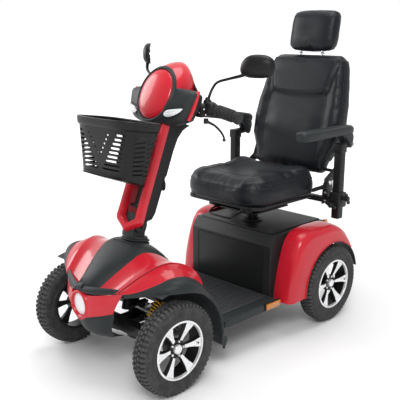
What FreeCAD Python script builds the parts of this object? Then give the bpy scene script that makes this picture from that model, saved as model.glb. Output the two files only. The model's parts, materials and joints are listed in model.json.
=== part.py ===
"""Four-wheel mobility scooter.

Millimetres. +Z is up, the front of the scooter faces -Y and the rider's left is +X.
The origin is on the ground under the middle of the machine.
"""
import FreeCAD, Part
import Sketcher
import os
from FreeCAD import Placement, Rotation, Vector

DRIVING_SIZES = {
    # wheels and axles
    "tyre_radius": 170, "tyre_width": 70, "rim_radius": 108, "rim_width": 66,
    "hub_radius": 30, "stub_radius": 12, "running_gap": 0.05, "track": 604,
    "front_axle_y": -518, "rear_axle_y": 388,
    # front suspension and steering
    "kingpin_x": 245, "kingpin_radius": 10, "steer_arm": 90, "beam_half": 20,
    "swing_y": -345, "swing_z": 122, "tie_rod_z": 205, "shock_x": 150,
    # frame
    "rail_x": 80, "rail_width": 40, "rail_low": 104, "rail_high": 139,
    "post_y": 225, "post_radius": 30, "post_bore": 25,
    # bodywork
    "wall": 4, "tray_half": 280, "tray_top": 174, "tray_low": 141, "box_half": 230,
    "fender_in": 232, "fender_out": 330, "arch_radius": 190,
    # steering column and tiller
    "column_radius": 16, "column_y": -435, "column_z": 487,
    "pivot_y": -437, "pivot_z": 540, "cover_half": 64, "tiller_length": 372,
    # basket
    "basket_half": 152, "basket_wall": 3, "basket_corner": 55,
    # seat
    "seat_half": 228, "seat_front": -16, "seat_back": 416, "seat_low": 552,
    "seat_thick": 80, "arm_x": 300, "arm_y": 436, "arm_square": 36,
    "back_half": 232, "headrest_half": 126, "head_post_x": 60,
}
COLUMN_LEAN = 12      # degrees that the steering column leans back
TILLER_LEAN = 22      # degrees that the tiller leans back

doc = FreeCAD.newDocument("MobilityScooter")
sheet = doc.addObject("Spreadsheet::Sheet", "Sizes")


class Size:
    """A length, held both as its value and as a formula on the sheet."""

    def __init__(self, value, text=None):
        self.value = float(value)
        self.text = text or f"({self.value:.6g})"

    def __add__(self, other):
        other = size_of(other)
        return Size(self.value + other.value, f"({self.text} + {other.text})")

    def __sub__(self, other):
        other = size_of(other)
        return Size(self.value - other.value, f"({self.text} - {other.text})")

    def __mul__(self, factor):
        return Size(self.value * factor, f"({self.text} * {factor:.6g})")

    def __radd__(self, other):
        return size_of(other) + self

    def __rsub__(self, other):
        return size_of(other) - self

    __rmul__ = __mul__

    def __neg__(self):
        return self * -1


def size_of(value):
    return value if isinstance(value, Size) else Size(value)


def fill_sheet():
    """Writes the driving sizes to the sheet and returns them by name."""
    sizes = {}
    for row, (name, value) in enumerate(DRIVING_SIZES.items(), start=1):
        sheet.set(f"A{row}", name)
        sheet.set(f"B{row}", str(value))
        sheet.setAlias(f"B{row}", name)
        sizes[name] = Size(value, f"Sizes.{name}")
    doc.recompute()
    return sizes


S = fill_sheet()
NODES = []
LEFT_RIGHT = (("left", 1), ("right", -1))


def bind(thing, path, length):
    """Binds one property of an object to its formula."""
    thing.setExpression(path, size_of(length).text)


def locate(thing, point, rotation=None):
    """Places an object at a point whose coordinates stay bound to the sheet."""
    at = [size_of(c) for c in point]
    thing.Placement = Placement(Vector(*[c.value for c in at]), rotation or Rotation())
    for letter, length in zip("xyz", at):
        bind(thing, f"Placement.Base.{letter}", length)
    return thing


def node(thing, label):
    """Gives a finished sub-part its own name and keeps it for export."""
    thing.Label = label
    NODES.append(thing)
    return thing


# ---- primitives ----

def block(x, y, z):
    """Box between two limits along each axis."""
    thing = doc.addObject("Part::Box", "Block")
    for prop, (low, high) in zip(("Length", "Width", "Height"), (x, y, z)):
        bind(thing, prop, size_of(high) - low)
    return locate(thing, (x[0], y[0], z[0]))


def rod(start, along, radius, length):
    """Round bar that starts at a point and runs along a direction."""
    thing = doc.addObject("Part::Cylinder", "Rod")
    bind(thing, "Radius", radius)
    bind(thing, "Height", length)
    return locate(thing, start, Rotation(Vector(0, 0, 1), Vector(*along)))


def cross_rod(y, z, radius, half):
    """Round bar across the machine, centred on its middle plane."""
    return rod((-size_of(half), y, z), (1, 0, 0), radius, size_of(half) * 2)


def bar(start, end, radius):
    """Round bar between two plain points."""
    run = Vector(*end) - Vector(*start)
    return rod(start, tuple(run), radius, run.Length)


def ball(centre, radius):
    thing = doc.addObject("Part::Sphere", "Ball")
    bind(thing, "Radius", radius)
    return locate(thing, centre)


def bent_rod(points, radius):
    """Round rod through plain points, with a ball at each bend."""
    runs = [bar(points[k], points[k + 1], radius) for k in range(len(points) - 1)]
    return runs + [ball(point, radius + 0.3) for point in points[1:-1]]


def fuse(*things):
    joined = doc.addObject("Part::MultiFuse", "Joined")
    joined.Shapes = list(things)
    return joined


def group(*things):
    gathered = doc.addObject("Part::Compound", "Gathered")
    gathered.Links = list(things)
    return gathered


def cut(base, *tools):
    trimmed = doc.addObject("Part::Cut", "Trimmed")
    trimmed.Base = base
    trimmed.Tool = tools[0] if len(tools) == 1 else fuse(*tools)
    return trimmed


def mirrored(thing):
    """The same piece on the other side of the machine."""
    twin = doc.addObject("Part::Mirroring", "Twin")
    twin.Source = thing
    twin.Normal = Vector(1, 0, 0)
    return twin


def moved(thing, frame):
    """Carries a fused piece from its own frame to the machine's."""
    thing.Placement = frame
    return thing


def span(sign, inner, outer):
    """Limits across the machine on one side, given outwards from the middle plane."""
    ends = [size_of(inner) * sign, size_of(outer) * sign]
    return ends if sign > 0 else ends[::-1]


def both_sides(make):
    """Runs a maker for each side and returns what it made."""
    return [make(sign) for _, sign in LEFT_RIGHT]


# ---- sketched bodies ----

def new_body():
    return doc.addObject("PartDesign::Body", "Body")


def new_sketch(body, role, offset=0):
    """Sketch on one of the body's own origin planes, lifted by an offset."""
    sketch = body.newObject("Sketcher::SketchObject", "Sketch")
    plane = next(f for f in body.Origin.OriginFeatures if f.Role == role)
    sketch.AttachmentSupport = [(plane, "")]
    sketch.MapMode = "FlatFace"
    bind(sketch, "AttachmentOffset.Base.z", offset)
    return sketch


def outline(sketch, points):
    """Closed outline of straight lines; every corner is fixed by the sheet."""
    corners = [[size_of(c) for c in point] for point in points]
    flat = [Vector(u.value, v.value, 0) for u, v in corners]
    first = sketch.GeometryCount
    for k, point in enumerate(flat):
        sketch.addGeometry(Part.LineSegment(point, flat[(k + 1) % len(flat)]), False)
    for k, (u, v) in enumerate(corners):
        after = first + (k + 1) % len(flat)
        sketch.addConstraint(Sketcher.Constraint("Coincident", first + k, 2, after, 1))
        for kind, length in (("DistanceX", u), ("DistanceY", v)):
            index = sketch.addConstraint(
                Sketcher.Constraint(kind, -1, 1, first + k, 1, length.value))
            if "Sizes" in length.text:
                bind(sketch, f"Constraints[{index}]", length)
    return sketch


def ring(sketch, centre, radius):
    """Circle whose centre and radius are fixed by the sheet."""
    u, v = [size_of(c) for c in centre]
    radius = size_of(radius)
    index = sketch.addGeometry(
        Part.Circle(Vector(u.value, v.value, 0), Vector(0, 0, 1), radius.value), False)
    for constraint, length in (
            (Sketcher.Constraint("DistanceX", -1, 1, index, 3, u.value), u),
            (Sketcher.Constraint("DistanceY", -1, 1, index, 3, v.value), v),
            (Sketcher.Constraint("Radius", index, radius.value), radius)):
        number = sketch.addConstraint(constraint)
        if "Sizes" in length.text:
            bind(sketch, f"Constraints[{number}]", length)
    return sketch


def pad(body, sketch, length, middle=False):
    feature = body.newObject("PartDesign::Pad", "Pad")
    feature.Profile = sketch
    bind(feature, "Length", length)
    feature.Midplane = middle
    body.Tip = feature
    return feature


def pocket(body, sketch, depth, middle=False, reverse=False):
    feature = body.newObject("PartDesign::Pocket", "Pocket")
    feature.Profile = sketch
    bind(feature, "Length", depth)
    feature.Midplane = middle
    feature.Reversed = reverse
    body.Tip = feature
    return feature


def side_plate(points, x_low, width):
    """Outline drawn in side view, given as (y, z), and padded across the machine."""
    body = new_body()
    pad(body, outline(new_sketch(body, "YZ_Plane", x_low), points), width)
    return body


def turned(profile):
    """Outline of (across, radius) points turned about the X axis."""
    body = new_body()
    sketch = outline(new_sketch(body, "XY_Plane"), profile)
    feature = body.newObject("PartDesign::Revolution", "Turned")
    feature.Profile = sketch
    feature.ReferenceAxis = (sketch, ["H_Axis"])
    feature.Angle = 360
    body.Tip = feature
    return body


# ---- thin moulded panels ----

def facet(a, b, c):
    return Part.Face(Part.makePolygon([a, b, c, a]))


def strip(row_a, row_b):
    """Triangles between two rows of points; the second of each pair may coincide."""
    faces = []
    for k in range(len(row_a) - 1):
        a, b, c, d = row_a[k], row_a[k + 1], row_b[k + 1], row_b[k]
        faces += [facet(p, q, r) for p, q, r in ((a, b, c), (a, c, d))
                  if (q - p).cross(r - p).Length > 1e-6]
    return faces


def panel_solid(rows, backs):
    """Closed panel between a grid of outer points and its matching inner grid."""
    faces = []
    for k in range(len(rows) - 1):
        faces += strip(rows[k], rows[k + 1])
        faces += strip(backs[k], backs[k + 1])
        for edge in (0, -1):
            faces += strip([rows[k][edge], rows[k + 1][edge]], [backs[k][edge], backs[k + 1][edge]])
    for end in (0, -1):
        faces += strip(rows[end], backs[end])
    shell = Part.makeShell(faces)
    shell.sewShape()
    solid = Part.makeSolid(shell)
    if solid.Volume < 0:
        solid.reverse()
    return solid


def moulded(rows, inward):
    """Feature holding one panel; inward is the wall's thickness as a vector or a row of them."""
    rows = [[Vector(*p) for p in row] for row in rows]
    backs = [[p + Vector(*(inward[k] if isinstance(inward[0], tuple) else inward)) for p in row]
             for k, row in enumerate(rows)]
    feature = doc.addObject("Part::Feature", "Moulded")
    feature.Shape = panel_solid(rows, backs)
    return feature


def full_width(half_rows):
    """Rows given from the middle outwards, completed on the other side."""
    return [[(-x, y, z) for x, y, z in reversed(row[1:])] + list(row) for row in half_rows]


# ---- frames of the leaning assemblies ----

def leaning(y, z, degrees):
    """Placement whose own Z axis leans back from a point on the middle plane."""
    return Placement(Vector(0, y.value, z.value), Rotation(Vector(1, 0, 0), -degrees))


COLUMN = leaning(S["column_y"], S["column_z"], COLUMN_LEAN)
TILLER = leaning(S["pivot_y"], S["pivot_z"], TILLER_LEAN)
COLUMN_AXIS = tuple(COLUMN.Rotation.multVec(Vector(0, 0, 1)))


def along_column(distance, radius, length):
    """Round bar on the steering axis, measured from the top collar."""
    start = COLUMN.multVec(Vector(0, 0, distance))
    return rod(tuple(start), COLUMN_AXIS, radius, length)


# ---- chassis ----

def main_frame():
    rail, wide = S["rail_x"], S["rail_width"]
    low, high = S["rail_low"], S["rail_high"]
    parts = []
    for _, sign in LEFT_RIGHT:
        across = span(sign, rail, rail + wide)
        parts += [
            block(across, (-440, 340), (low, high)),
            block(across, (300, 340), (high, 250)),
            block(across, (300, 552), (250, 290)),
            block(span(sign, 84, 108), (-396, -356), (high, 297)),
            block(span(sign, 84, 108), (376, 400), (195.2, 251)),
        ]
        for inner in (138, 156):
            parts.append(block(span(sign, inner, inner + 6), (-441, -405), (290, 312)))
        parts.append(rod((span(sign, 141, 159)[0], -430, 300), (1, 0, 0), 5, 18))
    parts += [
        block((-rail, rail), (-320, 200), (low, 110)),
        block((-rail, rail), (200, 250), (low, high)),
        block((-180, 180), (-412, -356), (296, 312)),
        block((-30, 30), (-470, -405), (284, 312)),
        along_column(-230, 26, 80),
        cross_rod(S["swing_y"], S["swing_z"], S["kingpin_radius"], rail + 1),
        rod((0, S["post_y"], 120), (0, 0, 1), S["post_radius"], 320),
        block((-120, 120), (552, 560), (215, 290)),
    ]
    tools = [
        along_column(-260, S["column_radius"] + S["running_gap"], 150),
        rod((0, S["post_y"], 200), (0, 0, 1), S["post_bore"], 260),
    ]
    tools += [rod((x, 545, z), (0, 1, 0), 4.5, 20) for x in (-50, 50) for z in (230, 275)]
    return node(cut(fuse(*parts), *tools), "main_frame")


def floor_tray():
    half, top = S["tray_half"], S["tray_top"]
    body = new_body()
    edge = [(half, -225), (half, 78), (-half, 78), (-half, -225), (-half + 40, -256), (half - 40, -256)]
    pad(body, outline(new_sketch(body, "XY_Plane", S["tray_low"]), edge), top - S["tray_low"])
    recess = [(215, -225), (215, 60), (-215, 60), (-215, -225)]
    pocket(body, outline(new_sketch(body, "XY_Plane", top), recess), 6)
    return node(body, "floor_tray")


def floor_mat():
    body = new_body()
    edge = [(213, -223), (213, 58), (-213, 58), (-213, -223)]
    pad(body, outline(new_sketch(body, "XY_Plane", S["tray_top"] - 6), edge), 4.5)
    return node(body, "floor_mat")


def lamp_drum(radius, start, length):
    """Tall round-ended drum round the headlamp's axis, as pieces to fuse or cut with."""
    low, high = 282, 314
    ends = [rod((0, start, z), (0, 1, 0), radius, length) for z in (low, high)]
    return [block((-radius, radius), (start, start + length), (low, high)), *ends]


def front_shroud():
    """Black centre of the nose: chin, hood and the footwell's front wall."""
    wall = S["wall"].value
    chin = [[(0, -560, 142), (40, -560, 142), (58, -556, 146)],
            [(0, -652, 152), (40, -650, 156), (60, -644, 164)],
            [(0, -682, 236), (45, -676, 240), (95, -660, 262)],
            [(0, -680, 300), (55, -672, 300), (110, -652, 312)],
            [(0, -668, 364), (50, -662, 364), (78, -652, 358)],
            [(0, -590, 430), (60, -586, 424), (96, -580, 408)],
            [(0, -485, 489), (70, -488, 482), (118, -492, 456)],
            [(0, -372, 436), (84, -374, 430), (146, -384, 404)],
            [(0, -336, 330), (100, -338, 326), (190, -344, 312)],
            [(0, -270, 190), (120, -270, 190), (228, -276, 190)],
            [(0, -262, 176), (120, -262, 176), (236, -264, 176)]]
    inward = [(0, 0, wall), (0, wall, wall), (0, wall, 0), (0, wall, 0), (0, wall, -wall), (0, 2, -wall),
              (0, 0, -wall), (0, -wall, -wall), (0, -wall, 0), (0, -wall, 0), (0, -wall, 0)]
    shell = moulded(full_width(chin), inward)
    return node(cut(shell, along_column(-90, 66, 160), *lamp_drum(28.5, -710, 70)), "front_shroud")


def front_wings():
    """Red mudguards over the front wheels."""
    rows = [[(84, -655, 366), (150, -654, 370), (200, -647, 370)],
            [(104, -588, 416), (205, -590, 436), (304, -591, 400)],
            [(126, -505, 462), (262, -506, 476), (332, -496, 438)],
            [(150, -420, 428), (272, -428, 440), (334, -410, 412)],
            [(168, -352, 366), (272, -345, 388), (332, -338, 372)]]
    left = moulded(rows, (0, 0, -S["wall"].value))
    return node(group(left, mirrored(left)), "front_wings")


def nose_panel():
    """Red pointed bar across the nose, with the lamp's opening in its middle."""
    rows = [[(0, -699, 236), (50, -690, 262), (120, -668, 286), (182, -650, 300)],
            [(0, -702, 300), (50, -692, 306), (120, -670, 322), (194, -647, 334)],
            [(0, -701, 352), (50, -690, 352), (120, -669, 360), (200, -645, 367)]]
    shell = moulded(full_width(rows), (0, S["wall"].value, 0))
    return node(cut(shell, *lamp_drum(29, -710, 60)), "nose_panel")


def arch_trims():
    """Dark lips and liners round the front wheel arches."""
    centre_y, centre_z = S["front_axle_y"], S["tyre_radius"]
    body = new_body()
    edge = [(-588, 394), (-500, 431), (-420, 405), (-352, 358),
            (-318, 276), (-306, 138), (-350, 138), (-500, 240), (-588, 300)]
    pad(body, outline(new_sketch(body, "YZ_Plane", 296), edge), 42)
    arch = ring(new_sketch(body, "YZ_Plane", 290), (centre_y, centre_z), 212)
    pocket(body, arch, 60, reverse=True)
    front = moulded([[(202, -646, 362), (248, -625, 376), (292, -598, 390)],
                     [(202, -640, 334), (248, -619, 350), (290, -592, 366)]], (0, 6, 0))
    return node(group(body, front, mirrored(body), mirrored(front)), "arch_trims")


def headlamp_unit():
    """Lamp housing behind the nose."""
    return node(fuse(*lamp_drum(27, -690, 44)), "headlamp_unit")


def headlamp_lens():
    return node(fuse(*lamp_drum(24, -696, 5.5)), "headlamp_lens")


def seat_box():
    """Battery cover under the seat, open below."""
    half, wall = S["box_half"], S["wall"]
    body = new_body()
    outer = [(80, 141), (80, 385), (105, 425), (450, 425), (500, 380), (500, 295), (345, 295), (345, 141)]
    inner = [(84, 130), (84, 383), (107, 421), (448, 421), (496, 378), (496, 285), (346, 285), (346, 130)]
    pad(body, outline(new_sketch(body, "YZ_Plane"), outer), half * 2, middle=True)
    pocket(body, outline(new_sketch(body, "YZ_Plane"), inner), (half - wall) * 2, middle=True)
    hole = ring(new_sketch(body, "XY_Plane", 430), (0, S["post_y"]), S["post_radius"] + 1.5)
    pocket(body, hole, 20)
    return node(body, "seat_box")


def rear_fenders():
    """Red covers over the rear wheels, open towards the wheel."""
    inside, outside, wall = S["fender_in"], S["fender_out"], S["wall"]
    centre_y, centre_z = S["rear_axle_y"], S["tyre_radius"]
    body = new_body()
    outer = [(103, 150), (166, 437), (411, 434), (470, 383), (524, 334), (400, 190), (388, 150)]
    inner = [(110, 140), (170, 433), (409, 430), (467, 380), (512, 328), (400, 180), (388, 140)]
    pad(body, outline(new_sketch(body, "YZ_Plane", inside), outer), outside - inside)
    hollow = outline(new_sketch(body, "YZ_Plane", inside), inner)
    pocket(body, hollow, outside - inside - wall, reverse=True)
    arch = ring(new_sketch(body, "YZ_Plane", inside), (centre_y, centre_z), S["arch_radius"])
    pocket(body, arch, 200, reverse=True)
    return node(group(body, mirrored(body)), "rear_fenders")


def marker_lamps():
    """Amber side lamps, amber top reflectors and red tail lamps."""
    half = S["tray_half"]
    lamps = [block((half + 0.2, half + 14), (-5, 76), (152, 172)),
             block((222, 238), (450, 474), (425.2, 444)),
             block((150, 210), (500.5, 512), (318, 350))]
    return node(group(*lamps, *[mirrored(lamp) for lamp in lamps]), "marker_lamps")


def batteries():
    pack = block((40, 170), (95, 290), (S["rail_high"] + 0.2, 310))
    return node(group(pack, mirrored(pack)), "batteries")


def transaxle():
    y, z, stub = S["rear_axle_y"], S["tyre_radius"], S["stub_radius"]
    end = S["track"] * 0.5 + 20
    parts = [cross_rod(y, z, 62, 55), cross_rod(y, z, 25, 240), cross_rod(y, z, stub, end),
             rod((-60, 475, 190), (1, 0, 0), 48, 170), rod((-55, 475, 190), (1, 0, 0), 20, 90)]
    nut = S["track"] * 0.5 + 14.5
    parts += [rod((nut, y, z), (1, 0, 0), 17, 7), rod((-nut - 7, y, z), (1, 0, 0), 17, 7)]
    return node(fuse(*parts), "transaxle")


# ---- front axle and steering ----

def front_axle_beam():
    y, z, half, pin = S["front_axle_y"], S["tyre_radius"], S["beam_half"], S["kingpin_x"]
    fore, aft = y - half, y + half
    parts = [block((-pin + 35, pin - 35), (fore, aft), (z - half, z + half)),
             cross_rod(S["swing_y"], S["swing_z"], 18, S["rail_x"] - 3)]

    def one_side(sign):
        side = [block(span(sign, pin - 42, pin - 28), (fore, aft), (130, 210)),
                block(span(sign, pin - 42, pin + 14), (fore, aft), (198, 210)),
                block(span(sign, pin - 42, pin + 14), (fore, aft), (130, 142))]
        for inner in (138, 156):
            side.append(block(span(sign, inner, inner + 6), (y - 14, y + 8), (z + half, 216)))
        side.append(rod((span(sign, 141, 159)[0], y - 4, 206), (1, 0, 0), 5, 18))
        arm = [(-530, 155), (-498, 155), (-474, 134), (-333, 134), (-333, 110), (-490, 110), (-530, 136)]
        side.append(side_plate(arm, span(sign, 53, 67)[0], 14))
        return side
    for side in both_sides(one_side):
        parts += side
    bore = S["kingpin_radius"] + S["running_gap"]
    tools = [rod((pin * sign, y, 120), (0, 0, 1), bore, 100) for _, sign in LEFT_RIGHT]
    tools.append(cross_rod(S["swing_y"], S["swing_z"], bore, 100))
    return node(cut(fuse(*parts), *tools), "front_axle_beam")


def front_shocks():
    """Dampers with their springs, from the axle beam up to the frame."""
    foot = Vector(S["shock_x"].value, -522, 206)
    head = Vector(S["shock_x"].value, -430, 300)
    run = head - foot
    way = Vector(run).normalize()

    def between(first, last, radius):
        return bar(tuple(foot + way * first), tuple(foot + way * last), radius)
    reach = run.Length
    core = fuse(between(4, 20, 5), between(18, 80, 9), between(70, reach - 6, 5),
                rod(tuple(foot - Vector(5.5, 0, 0)), (1, 0, 0), 9, 11),
                rod(tuple(head - Vector(5.5, 0, 0)), (1, 0, 0), 9, 11),
                between(22, 27, 19), between(reach - 27, reach - 22, 19))
    eyes = [rod(tuple(end - Vector(8, 0, 0)), (1, 0, 0), 5.05, 16) for end in (foot, head)]
    core = cut(core, *eyes)
    spring = cut(between(27.2, reach - 27.2, 17), between(20, reach - 20, 12))
    shock = [core, spring]
    return node(group(*shock, *[mirrored(piece) for piece in shock]), "front_shocks")


def knuckle(side, sign):
    y, z, pin = S["front_axle_y"], S["tyre_radius"], S["kingpin_x"]
    wheel = S["track"] * 0.5
    end_y = y + S["steer_arm"]
    parts = [block((pin - 16, pin + 16), (y - 16, y + 16), (144, 196)),
             rod((pin, y, 128), (0, 0, 1), S["kingpin_radius"], 84),
             rod((pin, y, z), (1, 0, 0), S["stub_radius"], wheel + 20 - pin),
             rod((pin, y, z), (1, 0, 0), 18, wheel - 33 - pin),
             rod((wheel + 14.5, y, z), (1, 0, 0), 17, 7),
             block((pin - 11, pin + 11), (y, end_y + 12), (182, 194)),
             rod((pin, end_y, 190), (0, 0, 1), 6, 23)]
    whole = fuse(*parts)
    return node(whole if sign > 0 else mirrored(whole), f"knuckle_{side}")


def tie_rods():
    y, z, pin = S["front_axle_y"] + S["steer_arm"], S["tie_rod_z"], S["kingpin_x"]
    parts = [rod((-pin + 12, y, z), (1, 0, 0), 7, (pin - 12) * 2),
             rod((pin, y, z - 6), (0, 0, 1), 13, 12),
             rod((-pin, y, z - 6), (0, 0, 1), 13, 12),
             block((-20, 20), (y, y + 46), (z - 6, z + 6))]
    tools = [rod((pin, y, 180), (0, 0, 1), 6 + S["running_gap"], 50),
             rod((-pin, y, 180), (0, 0, 1), 6.6, 50),
             rod((0, y + 26, 180), (0, 0, 1), 12.5, 50)]
    return node(cut(fuse(*parts), *tools), "tie_rods")


# ---- wheels ----

def wheel_places():
    half, z = S["track"] * 0.5, S["tyre_radius"]
    for axle in ("front", "rear"):
        for side, sign in LEFT_RIGHT:
            yield f"{axle}_{side}", (half * sign, S[f"{axle}_axle_y"], z), sign


def tyre(name, centre, sign):
    radius, inner, half = S["tyre_radius"], S["rim_radius"], S["tyre_width"] * 0.5
    side = [(half - 2, inner), (half, inner + 8), (half + 1, inner + 30),
            (half - 3, radius - 10), (half - 12, radius)]
    profile = side + [(-u, v) for u, v in reversed(side)]
    body = turned(profile)
    locate(body, centre, Rotation(Vector(0, 0, 1), 0 if sign > 0 else 180))
    return node(body, f"tyre_{name}")


def rim(name, centre, sign):
    """Barrel, windowed disc and hub in one casting."""
    outer, half = S["rim_radius"], S["rim_width"] * 0.5
    hub, bore = S["hub_radius"], S["stub_radius"] + S["running_gap"]
    profile = [(-32, bore), (-32, hub), (6, hub), (6, outer - 10), (-half, outer - 10), (-half, outer),
               (half, outer), (half, outer - 10), (18, outer - 10), (18, hub), (14, hub), (14, bore)]
    body = turned(profile)
    window = [(-14, 46), (14, 46), (22, 88), (-22, 88)]
    opening = pocket(body, outline(new_sketch(body, "YZ_Plane", 25), window), 30)
    pattern = body.newObject("PartDesign::PolarPattern", "Windows")
    pattern.Originals = [opening]
    pattern.Axis = (body.Tip.Profile[0], ["N_Axis"])
    pattern.Angle = 360
    pattern.Occurrences = 6
    body.Tip = pattern
    locate(body, centre, Rotation(Vector(0, 0, 1), 0 if sign > 0 else 180))
    return node(body, f"rim_{name}")


# ---- steering column and tiller ----

def steering_column():
    """Shaft, hinge block and pitman arm, turning in the frame's head tube."""
    pivot = COLUMN.inverse().multVec(Vector(0, S["pivot_y"].value, S["pivot_z"].value))
    radius = S["column_radius"]
    upper = fuse(rod((0, 0, -275), (0, 0, 1), radius, 310),
                 block((-33, 33), (-40, 14), (5, pivot.z)),
                 rod((-33, pivot.y, pivot.z), (1, 0, 0), 27, 66),
                 rod((-52, pivot.y, pivot.z), (1, 0, 0), 8, 104))
    parts = [moved(upper, COLUMN), block((-12, 12), (-500, -390), (219, 228)),
             rod((0, -402, 192), (0, 0, 1), 6, 30)]
    return node(fuse(*parts), "steering_column")


def column_bellows():
    """Pleated rubber boot round the column."""
    body = new_body()
    bore = S["column_radius"] + 0.3
    pleats = [(bore, -62)]
    for k in range(5):
        pleats += [(62, -60 + 13 * k), (62, -55 + 13 * k), (54, -50 + 13 * k)]
    pleats += [(bore, 2)]
    sketch = outline(new_sketch(body, "XZ_Plane"), pleats)
    feature = body.newObject("PartDesign::Revolution", "Pleats")
    feature.Profile = sketch
    feature.ReferenceAxis = (sketch, ["V_Axis"])
    feature.Angle = 360
    body.Tip = feature
    return node(moved(body, COLUMN), "column_bellows")


def tiller_front_cover():
    """Red front half of the tiller, with the basket's hook plate."""
    half, length, wall = S["cover_half"], S["tiller_length"], S["wall"]
    body = new_body()
    outer = [(0, -33), (half - 2, 10), (half, 200), (half, length - 10), (-half, length - 10),
             (-half, 200), (-half + 2, 10)]
    inner = [(0, -40), (half - wall - 2, -4), (half - wall, 200), (half - wall, length),
             (-half + wall, length), (-half + wall, 200), (-half + wall + 2, -4)]
    pad(body, outline(new_sketch(body, "XZ_Plane", 5), outer), 45)
    pocket(body, outline(new_sketch(body, "XZ_Plane", 5), inner), 41, reverse=True)
    hook = block((-35, 35), (-436, -376), (806, 846))
    return node(fuse(moved(body, TILLER), hook), "tiller_front_cover")


def tiller_rear_cover():
    half, length, wall = S["cover_half"] - 4, S["tiller_length"], S["wall"]
    body = new_body()
    outer = [(half, 30), (half, length - 10), (-half, length - 10), (-half, 30)]
    inner = [(half - wall, 20), (half - wall, length), (-half + wall, length), (-half + wall, 20)]
    pad(body, outline(new_sketch(body, "XZ_Plane", -42), outer), 46.5)
    pocket(body, outline(new_sketch(body, "XZ_Plane", -38), inner), 50, reverse=True)
    return node(moved(body, TILLER), "tiller_rear_cover")


GRIP_START = (154, -196, 962)
GRIP_END = (262, -160, 932)
BAR_BEND = (88, -262, 952)


def sided(point, sign):
    return (point[0] * sign, *point[1:])


def bar_route(extra=0):
    """The handlebar's tubes, or the clearance round them."""
    tubes = [cross_rod(BAR_BEND[1], BAR_BEND[2], 11 + extra, BAR_BEND[0] + 2)]
    for _, sign in LEFT_RIGHT:
        tubes += [bar(sided(BAR_BEND, sign), sided(GRIP_START, sign), 11 + extra),
                  bar(sided(GRIP_START, sign), sided(GRIP_END, sign), 9)]
    return tubes


def post_route(extra=0):
    """The tiller's square post, or the clearance round it."""
    half = 16 + extra
    return moved(fuse(block((-half, half), (-half, half), (70, 440)),
                      block((-half, half), (-half, half), (60, 71))), TILLER)


def handlebar():
    """Steel tiller frame: clevis, post, bars and the switch housings clamped on them."""
    clevis = [block((36, 44), (-22, 22), (-20, 70)), block((-44, -36), (-22, 22), (-20, 70)),
              block((-44, 44), (-22, 22), (62, 74))]
    frame = cut(fuse(*clevis), rod((-60, 0, 0), (1, 0, 0), 8 + S["running_gap"], 120))
    housings = [block(sorted((112 * sign, 152 * sign)), (-238, -186), (926, 978)) for _, sign in LEFT_RIGHT]
    whole = fuse(moved(frame, TILLER), post_route(), *bar_route(), *housings)
    tools = [rod((128, -222, 970), (0, 0, 1), 8 + S["running_gap"], 20)]
    return node(cut(whole, *tools), "handlebar")


def handgrips():
    grips = []
    for _, sign in LEFT_RIGHT:
        start, end = Vector(*sided(GRIP_START, sign)), Vector(*sided(GRIP_END, sign))
        along = Vector(end - start).normalize()
        grip = bar(tuple(start + along * 12), tuple(end + along * 12), 20)
        grips.append(cut(grip, bar(tuple(start), tuple(end + along * 0.2), 9)))
    return node(group(*grips), "handgrips")


def head_shell():
    """Dark shell of the tiller head, open at the back for the dashboard."""
    outer = [[(0, -328, 898), (50, -320, 898), (90, -292, 906)],
             [(0, -352, 926), (78, -344, 930), (120, -289, 914)],
             [(0, -336, 968), (128, -332, 964), (132, -268, 948)],
             [(0, -286, 1044), (86, -284, 1036), (124, -228, 1010)],
             [(0, -250, 1096), (56, -246, 1090), (92, -208, 1050)],
             [(0, -206, 1116), (46, -200, 1112), (70, -190, 1080)]]
    inward = [(0, 4, 3), (0, 5, 3), (0, 5, 0), (0, 5, -3), (0, 3, -5), (0, 0, -6)]
    return node(cut(moulded(full_width(outer), inward), post_route(3), *bar_route(3)), "head_shell")


def head_cap():
    """Red oval shield on the head's face."""
    centre = Placement(Vector(0, -309, 1011), Rotation(Vector(1, 0, 0), 90 - 34))
    plate = doc.addObject("Part::Ellipse", "ShieldEdge")
    plate.MajorRadius = 96
    plate.MinorRadius = 62
    plate.Placement = Placement(Vector(), Rotation(Vector(0, 0, 1), 90))
    raised = doc.addObject("Part::Extrusion", "Shield")
    raised.Base = plate
    raised.Dir = Vector(0, 0, 8)
    raised.Solid = True
    return node(moved(raised, centre), "head_cap")


def head_lenses():
    """White almond-shaped lamps either side of the shield."""
    rows = [[(40, -354, 938), (88, -346, 946), (128, -338, 962)],
            [(52, -352, 958), (90, -346, 966), (129, -339, 967)]]
    left = moulded(rows, (0, 5, 0))
    return node(group(left, mirrored(left)), "head_lenses")


def dashboard():
    """Panel that faces the rider, closing the head."""
    rows = [[(0, -316, 908), (56, -310, 908), (84, -282, 916)],
            [(0, -206, 960), (74, -206, 962), (100, -222, 968)],
            [(0, -196, 1040), (56, -194, 1044), (72, -194, 1048)],
            [(0, -186, 1096), (36, -184, 1092), (54, -184, 1076)]]
    back = moulded(full_width(rows), (0, -5, 1))
    screen = block((-40, 40), (-196, -184), (985, 1035))
    ports = [rod((62, -238, 964), (0, 1, 0.2), 11, 60), rod((-62, -238, 964), (0, 1, 0.2), 9, 60)]
    return node(cut(fuse(back, screen), post_route(3), *bar_route(3), *ports), "dashboard")


def hand_lever(name, sign):
    """Bent lever under a grip, pivoted at the switch housing."""
    path = [(147, -206, 916), (172, -194, 903), (193, -179, 880), (202, -170, 850)]
    pieces = bent_rod([sided(point, sign) for point in path], 4)
    pieces.append(rod((146 * sign, -208, 907), (0, 0, 1), 7.5, 18.5))
    return node(fuse(*pieces, ball(sided(path[-1], sign), 6)), name)


def tilt_lever():
    """Paddle behind the tiller that frees its tilt lock."""
    paddle = fuse(block((-9, 9), (43.5, 74), (196, 202)), block((-14, 14), (70, 98), (150, 201)))
    return node(moved(paddle, TILLER), "tilt_lever")


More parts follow.
